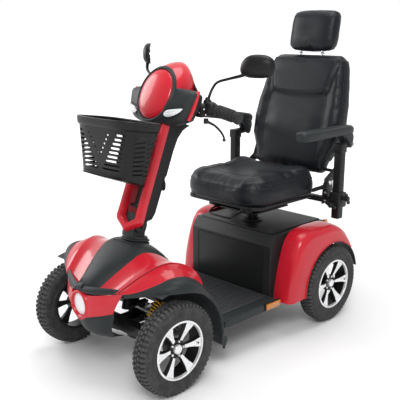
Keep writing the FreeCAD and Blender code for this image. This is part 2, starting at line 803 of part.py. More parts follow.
def speed_dial():
    stem = rod((62, -228, 966), (0, 1, 0.2), 10.95, 36)
    knob = rod((62, -196, 972.4), (0, 1, 0.2), 17, 14)
    return node(fuse(stem, knob), "speed_dial")


def ignition_key():
    return node(fuse(rod((-62, -228, 966), (0, 1, 0.2), 8.95, 30),
                     block((-64, -60), (-202, -170), (962, 984))), "ignition_key")


def horn_button():
    return node(rod((128, -222, 974.5), (0, 0, 1), 8, 8), "horn_button")


def basket_form(grow, lift):
    """The basket's tub: its sloping side outline padded across, with rounded front corners."""
    profile = [(-580 - grow, 738 + lift), (-578 - grow, 942), (-414 + grow, 918), (-484 + grow, 704 + lift)]
    body = new_body()
    half = S["basket_half"] + grow
    pad(body, outline(new_sketch(body, "YZ_Plane"), profile), half * 2, middle=True)
    doc.recompute()
    front = [k + 1 for k, edge in enumerate(body.Shape.Edges)
             if abs(edge.CenterOfMass.x) > 100 and edge.BoundBox.YMax < -570]
    rounded = doc.addObject("Part::Fillet", "RoundCorners")
    rounded.Base = body
    radius = S["basket_corner"].value + grow
    rounded.Edges = [(k, radius, radius) for k in front]
    return rounded


def basket():
    """Open moulded basket that lifts off the tiller."""
    wall = S["basket_wall"]
    mouth = side_plate([(-700, 942.5), (-700, 1000), (-300, 1000), (-300, 900)], -200, 400)
    tub = cut(basket_form(0, 0), basket_form(-wall.value, wall.value), mouth)
    lip = cut(basket_form(4, 195), basket_form(-0.5, 0))
    return node(fuse(tub, lip), "basket")


def mirror(side, sign, turn, stem):
    """Rear-view mirror: a shell on a bent stalk that swivels in the switch housing's top."""
    points = [sided(point, sign) for point in stem]
    pieces = bent_rod(points, 5)
    pieces.append(rod((*points[0][:2], 978.2), (0, 0, 1), 9, 22))
    shell = doc.addObject("Part::Ellipsoid", "MirrorShell")
    for prop, radius in (("Radius1", 46), ("Radius2", 70), ("Radius3", 18)):
        bind(shell, prop, radius)
    locate(shell, points[-1], Rotation(Vector(0, 0, 1), turn))
    return node(fuse(*pieces, shell), f"mirror_{side}")


# ---- seat ----

def seat_turntable():
    """Post, swivel plate and the rails that the seat slides on."""
    y = S["post_y"]
    parts = [rod((0, y, 260), (0, 0, 1), S["post_bore"] - S["running_gap"], 236),
             block((-110, 110), (y - 110, y + 110), (488, 496))]
    for x in (-95, 75):
        parts.append(block((x, x + 20), (80, 370), (496, 508)))
    return node(fuse(*parts), "seat_turntable")


def seat_base():
    """Steel pan under the cushion, with the arm tubes, clamps and recline hinge."""
    low, arm_x, arm_y = S["seat_low"], S["arm_x"], S["arm_y"]
    square = S["arm_square"]
    parts = [block((-200, 200), (20, 400), (low - 14, low - 0.5)),
             block((-110, 110), (60, 390), (509, low - 13))]
    for _, sign in LEFT_RIGHT:
        parts += [
            block(span(sign, 150, arm_x - 20), (arm_y - 15, arm_y + 15), (512, 536)),
            block(span(sign, arm_x - 30, arm_x + 26), (arm_y - 28, arm_y + 28), (500, 570)),
            block(span(sign, 150, 200), (380, arm_y), (512, low - 1)),
            block(span(sign, 243, 249), (400, 470), (512, 625)),
            block(span(sign, 190, 249), (400, 440), (512, 536)),
            rod((span(sign, arm_x + 20, arm_x + 56)[0], arm_y, 545), (1, 0, 0), 8, 36),
            block(span(sign, arm_x + 48, arm_x + 58), (arm_y - 22, arm_y + 22), (533, 557)),
            rod((arm_x * sign, arm_y - 50, 518), (0, 1, 0), 8, 26),
            block(span(sign, arm_x - 22, arm_x + 22), (arm_y - 56, arm_y - 46), (507, 529)),
            rod((span(sign, 231, 249)[0], 440, 600), (1, 0, 0), 8, 18),
        ]
    slots = [block((arm_x * sign - square * 0.5 - 0.05, arm_x * sign + square * 0.5 + 0.05),
                   (arm_y - square * 0.5 - 0.05, arm_y + square * 0.5 + 0.05), (470, 580))
             for _, sign in LEFT_RIGHT]
    return node(cut(fuse(*parts), *slots), "seat_base")


def cushion_block(points, half, radius):
    """Side outline of (y, z) points padded across the machine, with rounded edges."""
    body = new_body()
    pad(body, outline(new_sketch(body, "YZ_Plane"), points), size_of(half) * 2, middle=True)
    doc.recompute()
    rounded = doc.addObject("Part::Fillet", "Rounded")
    rounded.Base = body
    rounded.Edges = [(k + 1, radius, radius) for k in range(len(body.Shape.Edges))]
    return rounded


def seat_cushion():
    low, front, back = S["seat_low"], S["seat_front"], S["seat_back"]
    high = low + S["seat_thick"]
    profile = [(front, low), (front, high - 8), (front + 60, high), (back - 40, high - 6),
               (back - 14, high - 20), (back - 14, low)]
    return node(cushion_block(profile, S["seat_half"], 18), "seat_cushion")


def post_pair(radius):
    """The headrest's two posts, or the holes they slide in."""
    x = S["head_post_x"].value
    return [bar((x * sign, 596, 1038), (x * sign, 622, 1190), radius) for _, sign in LEFT_RIGHT]


def backrest_cushion():
    profile = [(452, 662), (446, 720), (474, 830), (530, 1000), (568, 1128), (606, 1132), (640, 1110),
               (622, 1000), (566, 830), (540, 720), (530, 662)]
    return node(cut(cushion_block(profile, S["back_half"], 14), *post_pair(6.3)), "backrest_cushion")


def backrest_frame():
    """Side plates from the recline hinge up to the backrest."""
    parts = []
    plate = [(424, 584), (456, 584), (530, 640), (560, 760), (540, 760), (500, 660), (424, 616)]
    for _, sign in LEFT_RIGHT:
        parts.append(side_plate(plate, 233 if sign > 0 else -241, 8))
    parts.append(cross_rod(500, 640, 7, 233))
    parts = fuse(*parts)
    return node(cut(parts, *[cross_rod(440, 600, 8 + S["running_gap"], 260)]), "backrest_frame")


def headrest_cushion():
    profile = [(584, 1146), (590, 1240), (610, 1308), (650, 1320), (682, 1296), (684, 1200), (652, 1146)]
    return node(cushion_block(profile, S["headrest_half"], 12), "headrest_cushion")


def headrest_posts():
    return node(group(*post_pair(6)), "headrest_posts")


def arm_post(side, sign):
    """Square post that slides up in its clamp and carries the arm's hinge lug."""
    x, y, square = S["arm_x"], S["arm_y"], S["arm_square"]
    half = square * 0.5
    post = block((x - half, x + half), (y - half, y + half), (452, 772))
    lug = block((x - 8, x + 8), (y - 5, y + 74), (752, 782))
    pin = rod((x - 22, y + 64, 768), (1, 0, 0), 7, 44)
    whole = fuse(post, lug, pin)
    return node(whole if sign > 0 else mirrored(whole), f"arm_post_{side}")


def armrest(side, sign, raised):
    """Moulded pad on hinge cheeks that flips up and back."""
    x, y = S["arm_x"], S["arm_y"] + 64
    pad_block = block((x - 42, x + 22), (170, y), (806, 850))
    cheeks = [block((x + low, x + low + 8), (y - 18, y + 14), (754, 808)) for low in (-20, 12)]
    whole = cut(fuse(pad_block, *cheeks), rod((x - 40, y, 768), (1, 0, 0), 7 + S["running_gap"], 90))
    whole = whole if sign > 0 else mirrored(whole)
    if raised:
        pivot = Vector(0, y.value, 768)
        turn = Rotation(Vector(1, 0, 0), -raised)
        whole.Placement = Placement(pivot, turn).multiply(Placement(-pivot, Rotation()))
    return node(whole, f"armrest_{side}")


def slide_lever():
    """Bent wire under the seat's front edge that frees the slide."""
    wire = [(-70, 110, 503), (-70, 40, 500), (-70, 20, 486), (70, 20, 486), (70, 40, 500), (70, 110, 503)]
    return node(fuse(*bent_rod(wire, 4)), "slide_lever")


def swivel_lever():
    """Paddle on the right that frees the swivel."""
    return node(fuse(block((-215, -111), (188, 200), (482, 487.5)),
                     block((-250, -214), (182, 206), (478, 487.5))), "swivel_lever")


def recline_lever():
    """Handle on the left that frees the backrest."""
    return node(fuse(rod((249.3, 416, 590), (1, 0, 0), 9, 8), block((251, 257), (310, 418), (583, 597))),
                "recline_lever")


def build_all():
    for make in (main_frame, floor_tray, floor_mat, front_shroud, front_wings, nose_panel, arch_trims,
                 headlamp_unit, headlamp_lens, seat_box, rear_fenders, marker_lamps, batteries, transaxle,
                 front_axle_beam, front_shocks, tie_rods, steering_column, column_bellows,
                 tiller_front_cover, tiller_rear_cover, handlebar, handgrips, head_shell, head_cap,
                 head_lenses, dashboard, tilt_lever, speed_dial, ignition_key, horn_button, basket,
                 seat_turntable, seat_base, seat_cushion, backrest_cushion, backrest_frame,
                 headrest_cushion, headrest_posts, slide_lever, swivel_lever, recline_lever):
        make()
    for side, sign in LEFT_RIGHT:
        knuckle(side, sign)
        arm_post(side, sign)
    for name, centre, sign in wheel_places():
        tyre(name, centre, sign)
        rim(name, centre, sign)
    hand_lever("brake_lever", 1)
    hand_lever("throttle_lever", -1)
    mirror("left", 1, 18, [(142, -196, 980), (144, -186, 1014), (152, -168, 1050), (240, -137, 1072),
                           (304, -108, 1110)])
    # half a turn more gives the same shell with its joint line away from the stalk
    mirror("right", -1, 136, [(142, -196, 980), (146, -196, 1014), (160, -190, 1050), (262, -140, 1080),
                             (300, -104, 1146)])
    armrest("left", 1, 0)
    armrest("right", -1, 9)


def check_and_write():
    """Stops on any failed object, then writes one file for each sub-part."""
    doc.recompute()
    failed = [f"{thing.Name} ({thing.Label})" for thing in doc.Objects
              if {"Invalid", "Error"} & set(thing.State)]
    if failed:
        raise RuntimeError(f"failed objects: {failed}")
    bad = [thing.Label for thing in NODES if thing.Shape.isNull() or not thing.Shape.isValid()
           or not thing.Shape.Solids or thing.Shape.Volume <= 0]
    if bad:
        raise RuntimeError(f"no good solid: {bad}")
    os.makedirs("parts", exist_ok=True)
    for thing in NODES:
        thing.Shape.exportStep(f"parts/{thing.Label}.step")
        box = thing.Shape.BoundBox
        print(f"{thing.Label:22s} solids {len(thing.Shape.Solids)}  x {box.XMin:7.1f} {box.XMax:7.1f}"
              f"  y {box.YMin:7.1f} {box.YMax:7.1f}  z {box.ZMin:7.1f} {box.ZMax:7.1f}")
    print(len(NODES), "sub-parts")


build_all()
check_and_write()
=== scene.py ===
"""Finished surfaces and materials for the mobility scooter.

Shapes are drawn in millimetres on the frame's axes: +Z is up, the front faces -Y and the
rider's left is +X. A piece is scaled to metres when it is made.
"""
import json
import math

import bmesh
import bpy
from mathutils import Matrix, Vector
from mathutils.bvhtree import BVHTree


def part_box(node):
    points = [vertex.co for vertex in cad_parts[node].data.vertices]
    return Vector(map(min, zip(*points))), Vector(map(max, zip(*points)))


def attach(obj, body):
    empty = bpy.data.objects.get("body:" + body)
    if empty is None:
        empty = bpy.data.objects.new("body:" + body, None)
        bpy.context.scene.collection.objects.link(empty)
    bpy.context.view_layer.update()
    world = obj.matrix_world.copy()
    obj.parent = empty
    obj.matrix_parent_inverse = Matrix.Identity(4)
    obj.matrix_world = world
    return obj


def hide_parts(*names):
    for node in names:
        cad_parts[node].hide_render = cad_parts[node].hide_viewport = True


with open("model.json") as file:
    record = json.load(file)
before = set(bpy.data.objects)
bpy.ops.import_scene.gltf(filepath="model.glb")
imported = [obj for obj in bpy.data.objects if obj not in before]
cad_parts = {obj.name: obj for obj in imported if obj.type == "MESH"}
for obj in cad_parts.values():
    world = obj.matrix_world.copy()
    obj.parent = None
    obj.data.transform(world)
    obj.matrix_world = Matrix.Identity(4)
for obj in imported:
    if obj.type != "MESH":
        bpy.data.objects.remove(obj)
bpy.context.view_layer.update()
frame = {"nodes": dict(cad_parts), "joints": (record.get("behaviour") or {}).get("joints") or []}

MM = 0.001
JOINTS = {joint["name"]: joint for joint in frame["joints"]}
SIDES = (("left", 1), ("right", -1))


def joint_point(name):
    """Where a joint turns, in millimetres."""
    return Vector(JOINTS[name]["pos_m"]) / MM


def node_box(node):
    """Lowest and highest corner of a frame node, in millimetres."""
    low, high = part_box(node)
    return low / MM, high / MM


def leaning(origin, degrees):
    """Matrix whose Z axis leans back from upright by an angle."""
    return Matrix.Translation(origin) @ Matrix.Rotation(math.radians(-degrees), 4, "X")


COLUMN_LEAN, TILLER_LEAN, BACKREST_LEAN = 12, 22, 15
COLUMN = leaning(joint_point("steer"), COLUMN_LEAN)
TILLER = leaning(joint_point("tiller_tilt"), TILLER_LEAN)


# ---- shapes as plain points and faces ----

class Form:
    """Points, faces, and for each face the number of its finish."""

    def __init__(self, points=(), faces=(), looks=None):
        self.points = [Vector(point) for point in points]
        self.faces = [tuple(face) for face in faces]
        self.looks = list(looks) if looks else [0] * len(self.faces)

    def __add__(self, other):
        shift = len(self.points)
        faces = [tuple(index + shift for index in face) for face in other.faces]
        return Form(self.points + other.points, self.faces + faces, self.looks + other.looks)

    def moved(self, matrix):
        return Form([matrix @ point for point in self.points], self.faces, self.looks)

    def mirrored(self):
        points = [(-point.x, point.y, point.z) for point in self.points]
        return Form(points, [face[::-1] for face in self.faces], self.looks)

    def both_sides(self):
        return self + self.mirrored()

    def on_side(self, sign):
        return self if sign > 0 else self.mirrored()

    def painted(self, look):
        return Form(self.points, self.faces, [look] * len(self.faces))

    def bmesh(self):
        mesh = bmesh.new()
        corners = [mesh.verts.new(point) for point in self.points]
        for face, look in zip(self.faces, self.looks):
            mesh.faces.new([corners[index] for index in face]).material_index = look
        mesh.verts.index_update()
        mesh.normal_update()
        return mesh


def taken(mesh):
    """Form of a bmesh, which is freed."""
    mesh.verts.index_update()
    points = [corner.co.copy() for corner in mesh.verts]
    faces = [[corner.index for corner in face.verts] for face in mesh.faces]
    looks = [face.material_index for face in mesh.faces]
    mesh.free()
    return Form(points, faces, looks)


def total(forms):
    return sum(forms, Form())


def through(points, steps=6, closed=False):
    """Points along the smooth curve that passes through the given ones."""
    points = [Vector(point) for point in points]
    count = len(points)
    line = []
    for k in range(count if closed else count - 1):
        b, c = points[k], points[(k + 1) % count]
        a = points[k - 1] if k or closed else b * 2 - c
        d = points[(k + 2) % count] if closed or k + 2 < count else c * 2 - b
        for step in range(steps):
            t = step / steps
            line.append(0.5 * (2 * b + (c - a) * t + (2 * a - 5 * b + 4 * c - d) * t ** 2
                               + (3 * b - a - 3 * c + d) * t ** 3))
    return line if closed else line + [points[-1]]


def grid(lines, closed_across=False, closed_along=False):
    """Quads between neighbouring lines of points."""
    rows, across = len(lines), len(lines[0])
    faces = []
    for row in range(rows if closed_along else rows - 1):
        for k in range(across if closed_across else across - 1):
            after, beyond = (k + 1) % across, (row + 1) % rows
            faces.append((row * across + k, row * across + after, beyond * across + after,
                          beyond * across + k))
    return Form([point for line in lines for point in line], faces)


def loft(rings):
    """Closed skin over rings of points, with flat ends."""
    skin = grid(rings, closed_across=True)
    count = len(rings[0])
    last = len(skin.points) - count
    ends = [tuple(range(count))[::-1], tuple(range(last, last + count))]
    return Form(skin.points, skin.faces + ends)


def swept(line, section):
    """Closed bar whose section, a function of the distance run from 0 to 1, follows a line of points."""
    rings = []
    normal = None
    for k, point in enumerate(line):
        ahead = (line[min(k + 1, len(line) - 1)] - line[max(k - 1, 0)]).normalized()
        normal = ahead.orthogonal() if normal is None else normal - ahead * normal.dot(ahead)
        normal.normalize()
        other = ahead.cross(normal)
        outline = section(k / (len(line) - 1))
        rings.append([point + normal * u + other * v for u, v in outline])
    return loft(rings)


def circle(radius, sides=16):
    angles = [2 * math.pi * k / sides for k in range(sides)]
    return [(radius * math.cos(angle), radius * math.sin(angle)) for angle in angles]


def tube(points, radius, sides=16, steps=6):
    """Round bar along a smooth curve; a list of radii is spread along it."""
    radii = radius if isinstance(radius, (list, tuple)) else [radius, radius]

    def section(run):
        at = run * (len(radii) - 1)
        k = min(int(at), len(radii) - 2)
        return circle(radii[k] + (radii[k + 1] - radii[k]) * (at - k), sides)
    return swept(through(points, steps) if steps > 1 else [Vector(p) for p in points], section)


def lathe(profile, segments=48):
    """Solid turned about Z from a closed outline of (radius, height) points."""
    rings = []
    for k in range(segments):
        angle = 2 * math.pi * k / segments
        rings.append([(r * math.cos(angle), r * math.sin(angle), h) for r, h in profile])
    return grid(rings, closed_across=True, closed_along=True)


def block(low, high, edge=2, segments=2):
    """Box between two corners with rounded edges."""
    low, high = Vector(low), Vector(high)
    mesh = bmesh.new()
    size = Matrix.Diagonal((*(high - low), 1))
    bmesh.ops.create_cube(mesh, size=1, matrix=Matrix.Translation((low + high) / 2) @ size)
    bmesh.ops.bevel(mesh, geom=mesh.edges[:], offset=edge, segments=segments, profile=0.5, affect="EDGES")
    return taken(mesh)


def plate(outline, low, high, edge=1.5, segments=2):
    """Outline in the XY plane, solid between two heights, with rounded rims."""
    mesh = bmesh.new()
    floor = mesh.faces.new([mesh.verts.new((x, y, low)) for x, y in outline])
    raised = bmesh.ops.extrude_face_region(mesh, geom=[floor])["geom"]
    top = [item for item in raised if isinstance(item, bmesh.types.BMVert)]
    bmesh.ops.translate(mesh, verts=top, vec=(0, 0, high - low))
    if edge:
        rims = [item for item in mesh.edges if abs(item.verts[0].co.z - item.verts[1].co.z) < 0.01]
        bmesh.ops.bevel(mesh, geom=rims, offset=edge, segments=segments, profile=0.5, affect="EDGES")
    return taken(mesh)


def ellipse(half_x, half_y, power=2.0, count=48):
    """Outline of a rounded figure: an ellipse at power 2, squarer above it."""
    outline = []
    for k in range(count):
        angle = 2 * math.pi * k / count
        c, s = math.cos(angle), math.sin(angle)
        outline.append((half_x * math.copysign(abs(c) ** (2 / power), c),
                        half_y * math.copysign(abs(s) ** (2 / power), s)))
    return outline


def side_view(x=0):
    """Matrix that stands an XY outline up as (y, z), with its thickness along X."""
    return Matrix(((0, 0, 1, x), (1, 0, 0, 0), (0, 1, 0, 0), (0, 0, 0, 1)))


def facing(origin, along, up=(0, 0, 1)):
    """Matrix at a point whose Z axis runs along a direction."""
    z = Vector(along).normalized()
    x = Vector(up).cross(z)
    x = z.orthogonal() if x.length < 1e-6 else x.normalized()
    y = z.cross(x)
    return Matrix.Translation(Vector(origin)) @ Matrix((x, y, z)).transposed().to_4x4()


def walled(form, thickness, outward):
    """Open skin given a wall on the side away from a direction."""
    mesh = form.bmesh()
    total_normal = sum((face.normal * face.calc_area() for face in mesh.faces), Vector())
    sign = 1 if total_normal.dot(Vector(outward)) > 0 else -1
    count = len(form.points)
    backs = [corner.co - corner.normal * sign * thickness for corner in mesh.verts]
    faces = [tuple(index + count for index in face[::-1]) for face in form.faces]
    for edge in mesh.edges:
        if edge.is_boundary:
            loop = edge.link_loops[0]
            a, b = loop.vert.index, loop.link_loop_next.vert.index
            faces.append((b, a, a + count, b + count))
    mesh.free()
    looks = form.looks + form.looks + [form.looks[0]] * (len(faces) - len(form.faces))
    return Form(form.points + backs, form.faces + faces, looks)


def patch(rows, steps=5):
    """Smooth open skin through a grid of points."""
    lines = [through(row, steps) for row in rows]
    columns = [through([line[k] for line in lines], steps) for k in range(len(lines[0]))]
    return grid(columns)


def whole_width(rows):
    """Rows given from the middle plane outwards, completed on the other side."""
    return [[(-x, y, z) for x, y, z in reversed(row[1:])] + list(row) for row in rows]


# ---- repeated pieces, made by geometry nodes ----

def add_node(tree, kind, settings=None, sockets=None):
    """A node in a tree: its settings are made first, then the values or links of its sockets."""
    made = tree.nodes.new(kind)
    for key, value in (settings or {}).items():
        if key == "stops":
            for k, (position, colour) in enumerate(value):
                stop = made.color_ramp.elements[k] if k < 2 else made.color_ramp.elements.new(position)
                stop.position = position
                stop.color = (*colour, 1)
        else:
            setattr(made, key, value)
    for key, value in (sockets or {}).items():
        value = getattr(value, "socket", value)
        if isinstance(value, bpy.types.NodeSocket):
            tree.links.new(value, made.inputs[key])
        else:
            made.inputs[key].default_value = value
    return made


class NodeTree:
    """A geometry node tree with named inputs; it ends in Realize Instances and Set Material."""

    def __init__(self, name, inputs):
        self.tree = bpy.data.node_groups.new(name, "GeometryNodeTree")
        self.tree.interface.new_socket("Geometry", in_out="OUTPUT", socket_type="NodeSocketGeometry")
        self.tree.interface.new_socket("Geometry", in_out="INPUT", socket_type="NodeSocketGeometry")
        for label, kind in {**inputs, "Finish": "NodeSocketMaterial"}.items():
            self.tree.interface.new_socket(label, in_out="INPUT", socket_type=kind)
        self.inputs = self.tree.nodes.new("NodeGroupInput").outputs

    def node(self, kind, settings=None, sockets=None):
        return add_node(self.tree, kind, settings, sockets)

    def end(self, geometry):
        real = self.node("GeometryNodeRealizeInstances", sockets={"Geometry": geometry})
        painted = self.node("GeometryNodeSetMaterial",
                            sockets={"Geometry": real.outputs[0], "Material": self.inputs["Finish"]})
        self.node("NodeGroupOutput", sockets={"Geometry": painted.outputs[0]})

    def run(self, form, finish, **values):
        """The tree's result on a form, as a plain form."""
        mesh = bpy.data.meshes.new("repeat")
        mesh.from_pydata(form.points, [], form.faces)
        thing = bpy.data.objects.new("repeat", mesh)
        bpy.context.scene.collection.objects.link(thing)
        modifier = thing.modifiers.new("Repeat", "NODES")
        modifier.node_group = self.tree
        names = {item.name: item.identifier for item in self.tree.interface.items_tree
                 if item.in_out == "INPUT"}
        for label, value in {**values, "Finish": finish}.items():
            modifier[names[label]] = value
        graph = bpy.context.evaluated_depsgraph_get()
        made = bpy.data.meshes.new_from_object(thing.evaluated_get(graph))
        result = Form([corner.co for corner in made.vertices], [face.vertices for face in made.polygons])
        bpy.data.objects.remove(thing)
        bpy.data.meshes.remove(made)
        return result


def turning_tree():
    """Copies of the input shape turned about Z, with the same angle between them."""
    tree = NodeTree("TurnedCopies", {"Count": "NodeSocketInt"})
    count = tree.inputs["Count"]
    points = tree.node("GeometryNodePoints", sockets={"Count": count})
    index = tree.node("GeometryNodeInputIndex")
    turn = tree.node("ShaderNodeMath", {"operation": "DIVIDE"}, {0: index.outputs[0], 1: count})
    angle = tree.node("ShaderNodeMath", {"operation": "MULTIPLY"}, {0: turn.outputs[0], 1: 2 * math.pi})
    spin = tree.node("ShaderNodeCombineXYZ", sockets={"Z": angle.outputs[0]})
    copies = tree.node("GeometryNodeInstanceOnPoints",
                       sockets={"Points": points.outputs[0], "Instance": tree.inputs["Geometry"],
                                "Rotation": spin.outputs[0]})
    tree.end(copies.outputs[0])
    return tree


def row_tree():
    """Copies of the input shape in a straight row."""
    tree = NodeTree("RowCopies", {"Count": "NodeSocketInt", "Step": "NodeSocketVector"})
    line = tree.node("GeometryNodeMeshLine", {"mode": "OFFSET"},
                     {"Count": tree.inputs["Count"], "Offset": tree.inputs["Step"]})
    copies = tree.node("GeometryNodeInstanceOnPoints",
                       sockets={"Points": line.outputs[0], "Instance": tree.inputs["Geometry"]})
    tree.end(copies.outputs[0])
    return tree


def coil_tree():
    """Wire wound about Z."""
    tree = NodeTree("Coil", {"Turns": "NodeSocketFloat", "Radius": "NodeSocketFloat",
                             "Height": "NodeSocketFloat", "Wire": "NodeSocketFloat"})
    spiral = tree.node("GeometryNodeCurveSpiral",
                       sockets={"Resolution": 24, "Rotations": tree.inputs["Turns"],
                                "Start Radius": tree.inputs["Radius"], "End Radius": tree.inputs["Radius"],
                                "Height": tree.inputs["Height"]})
    ring = tree.node("GeometryNodeCurvePrimitiveCircle",
                     sockets={"Resolution": 10, "Radius": tree.inputs["Wire"]})
    wire = tree.node("GeometryNodeCurveToMesh",
                     sockets={"Curve": spiral.outputs[0], "Profile Curve": ring.outputs[0],
                              "Fill Caps": True})
    tree.end(wire.outputs[0])
    return tree


TURNED, ROW, COIL = turning_tree(), row_tree(), coil_tree()


def smoothstep(value, low, high):
    """0 below low, 1 above high, smooth in between."""
    t = max(0.0, min(1.0, (value - low) / (high - low)))
    return t * t * (3 - 2 * t)


# ---- materials ----

class Value:
    """A number in a shader tree; arithmetic on it adds Math nodes."""

    def __init__(self, shader, socket):
        self.shader = shader
        self.socket = socket

    def _math(self, operation, first, second):
        made = self.shader.node("ShaderNodeMath", {"operation": operation}, {0: first, 1: second})
        return Value(self.shader, made.outputs[0])

    def __add__(self, other):
        return self._math("ADD", self, other)

    def __sub__(self, other):
        return self._math("SUBTRACT", self, other)

    def __rsub__(self, other):
        return self._math("SUBTRACT", other, self)

    def __mul__(self, other):
        return self._math("MULTIPLY", self, other)

    __radd__ = __add__
    __rmul__ = __mul__


class Shader:
    """One material's node tree, built from expressions."""

    def __init__(self, name):
        self.material = bpy.data.materials.new(name)
        self.material.use_nodes = True
        self.tree = self.material.node_tree
        self.tree.nodes.clear()
        self.place = self.node("ShaderNodeTexCoord").outputs["Object"]

    def node(self, kind, settings=None, sockets=None):
        return add_node(self.tree, kind, settings, sockets)

    def stretched(self, scale):
        """Object coordinates with a scale of their own on each axis."""
        return self.node("ShaderNodeMapping", sockets={"Vector": self.place, "Scale": scale}).outputs[0]

    def noise(self, scale, detail=3.0, rough=0.5, place=None):
        made = self.node("ShaderNodeTexNoise", sockets={
            "Vector": place or self.place, "Scale": scale, "Detail": detail, "Roughness": rough})
        return Value(self, made.outputs["Fac"])

    def cells(self, scale, feature="F1"):
        made = self.node("ShaderNodeTexVoronoi", {"feature": feature},
                         {"Vector": self.place, "Scale": scale})
        return Value(self, made.outputs["Distance"])

    def bands(self, scale, axis="X", distortion=0.0):
        made = self.node("ShaderNodeTexWave", {"wave_type": "BANDS", "bands_direction": axis},
                         {"Vector": self.place, "Scale": scale, "Distortion": distortion})
        return Value(self, made.outputs["Fac"])

    def axis(self, letter):
        made = self.node("ShaderNodeSeparateXYZ", sockets={0: self.place})
        return Value(self, made.outputs[letter])

    def between(self, value, low, high):
        """0 below low, 1 above high, smooth in between."""
        made = self.node("ShaderNodeMapRange", {"interpolation_type": "SMOOTHSTEP"},
                         {"Value": value, "From Min": low, "From Max": high})
        return Value(self, made.outputs[0])

    def edges(self):
        """About 1 on worn outer edges and 0 on flat ground."""
        pointed = Value(self, self.node("ShaderNodeNewGeometry").outputs["Pointiness"])
        return self.between(pointed, 0.52, 0.60)

    def mix(self, first, second, factor):
        made = self.node("ShaderNodeMix", {"data_type": "RGBA"},
                         {"Factor": factor, 6: (*first, 1) if isinstance(first, tuple) else first,
                          7: (*second, 1) if isinstance(second, tuple) else second})
        return made.outputs[2]

    def bump(self, height, strength, depth, below=None):
        sockets = {"Height": height, "Strength": strength, "Distance": depth}
        if below:
            sockets["Normal"] = below
        return self.node("ShaderNodeBump", sockets=sockets).outputs[0]

    def finish(self, sockets):
        """Principled surface from values on its own sockets."""
        surface = self.node("ShaderNodeBsdfPrincipled", sockets=sockets)
        self.node("ShaderNodeOutputMaterial", sockets={"Surface": surface.outputs[0]})
        return self.material


def shade(colour, factor):
    return tuple(part * factor for part in colour)


def gloss_paint(name, colour):
    """Clear-coated body colour with the faint ripple of moulded panels."""
    shader = Shader(name)
    drift = shader.noise(7, 2)
    ripple = shader.noise(60, 2)
    return shader.finish({
        "Base Color": shader.mix(shade(colour, 0.9), shade(colour, 1.12), drift),
        "Roughness": 0.26 + shader.noise(220, 2) * 0.08,
        "Coat Weight": 0.4, "Coat Roughness": 0.08, "Specular IOR Level": 0.25,
        "Normal": shader.bump(ripple, 0.08, 0.001)})


def grained_plastic(name, colour, rough=0.45, grain=1300):
    """Moulded plastic with a fine leather grain and paler worn edges."""
    shader = Shader(name)
    texture = shader.cells(grain)
    cloud = shader.noise(9, 3)
    worn = shader.edges() * 0.35
    base = shader.mix(shade(colour, 0.85), shade(colour, 1.2), cloud)
    return shader.finish({
        "Base Color": shader.mix(base, shade(colour, 2.2), worn),
        "Roughness": cloud * 0.12 + (rough - 0.06), "Specular IOR Level": 0.22,
        "Normal": shader.bump(texture, 0.25, 0.0003)})


def coated_steel(name, colour, rough=0.36):
    """Powder-coated steel: an even film with a tight orange peel."""
    shader = Shader(name)
    peel = shader.noise(900, 2)
    worn = shader.edges() * 0.3
    return shader.finish({
        "Base Color": shader.mix(colour, shade(colour, 4.0), worn),
        "Roughness": peel * 0.12 + (rough - 0.06), "Metallic": 0.15, "Specular IOR Level": 0.25,
        "Normal": shader.bump(peel, 0.15, 0.0003)})


def bare_metal(name, colour, rough, stretch=(40, 900, 900)):
    """Plated or machined metal with fine directional marks."""
    shader = Shader(name)
    marks = shader.noise(1.0, 4, place=shader.stretched(stretch))
    return shader.finish({
        "Base Color": shader.mix(shade(colour, 0.82), colour, marks), "Metallic": 1.0,
        "Roughness": marks * 0.14 + (rough - 0.05),
        "Normal": shader.bump(marks, 0.08, 0.0002)})


def silver_paint():
    """Bright machined-look silver of the wheels under clear lacquer."""
    shader = Shader("wheel_silver")
    flake = shader.cells(2600)
    cloud = shader.noise(14, 2)
    return shader.finish({
        "Base Color": shader.mix((0.74, 0.75, 0.76), (0.92, 0.92, 0.93), flake),
        "Metallic": 0.55, "Roughness": 0.24 + cloud * 0.1, "Coat Weight": 0.5, "Coat Roughness": 0.1})


def tyre_rubber():
    """Dusty black rubber, paler where the tread scuffs."""
    shader = Shader("tyre_rubber")
    dust = shader.noise(38, 5, 0.6)
    scuffed = shader.edges() * 0.4
    base = shader.mix((0.016, 0.016, 0.017), (0.042, 0.042, 0.043), shader.between(dust, 0.35, 0.7))
    return shader.finish({
        "Base Color": shader.mix(base, (0.085, 0.085, 0.087), scuffed),
        "Roughness": 0.62 + dust * 0.2,
        "Normal": shader.bump(shader.noise(700, 3), 0.3, 0.0004)})


def soft_leather():
    """Smooth black upholstery: pebble grain, stretch creases and a cool soft shine."""
    shader = Shader("black_leather")
    pebbles = shader.cells(620)
    stretch = shader.noise(16, 4, 0.55, shader.stretched((1.0, 2.4, 2.0)))
    patch_tone = shader.noise(5, 2)
    grain = shader.bump(pebbles, 0.3, 0.0005)
    return shader.finish({
        "Base Color": shader.mix((0.0035, 0.0046, 0.0068), (0.008, 0.010, 0.0135), patch_tone),
        "Roughness": 0.36 + stretch * 0.14, "Specular IOR Level": 0.22,
        "Coat Weight": 0.12, "Coat Roughness": 0.32,
        "Normal": shader.bump(stretch, 0.35, 0.004, grain)})


def soft_rubber(name, colour, pitch, axis):
    """Rubber with moulded ribs across an axis."""
    shader = Shader(name)
    ribs = shader.bands(pitch, axis)
    grain = shader.noise(600, 3)
    return shader.finish({
        "Base Color": shader.mix(shade(colour, 0.7), shade(colour, 1.3), grain),
        "Roughness": 0.6 + grain * 0.15,
        "Normal": shader.bump(ribs, 0.5, 0.0015, shader.bump(grain, 0.2, 0.0003))})


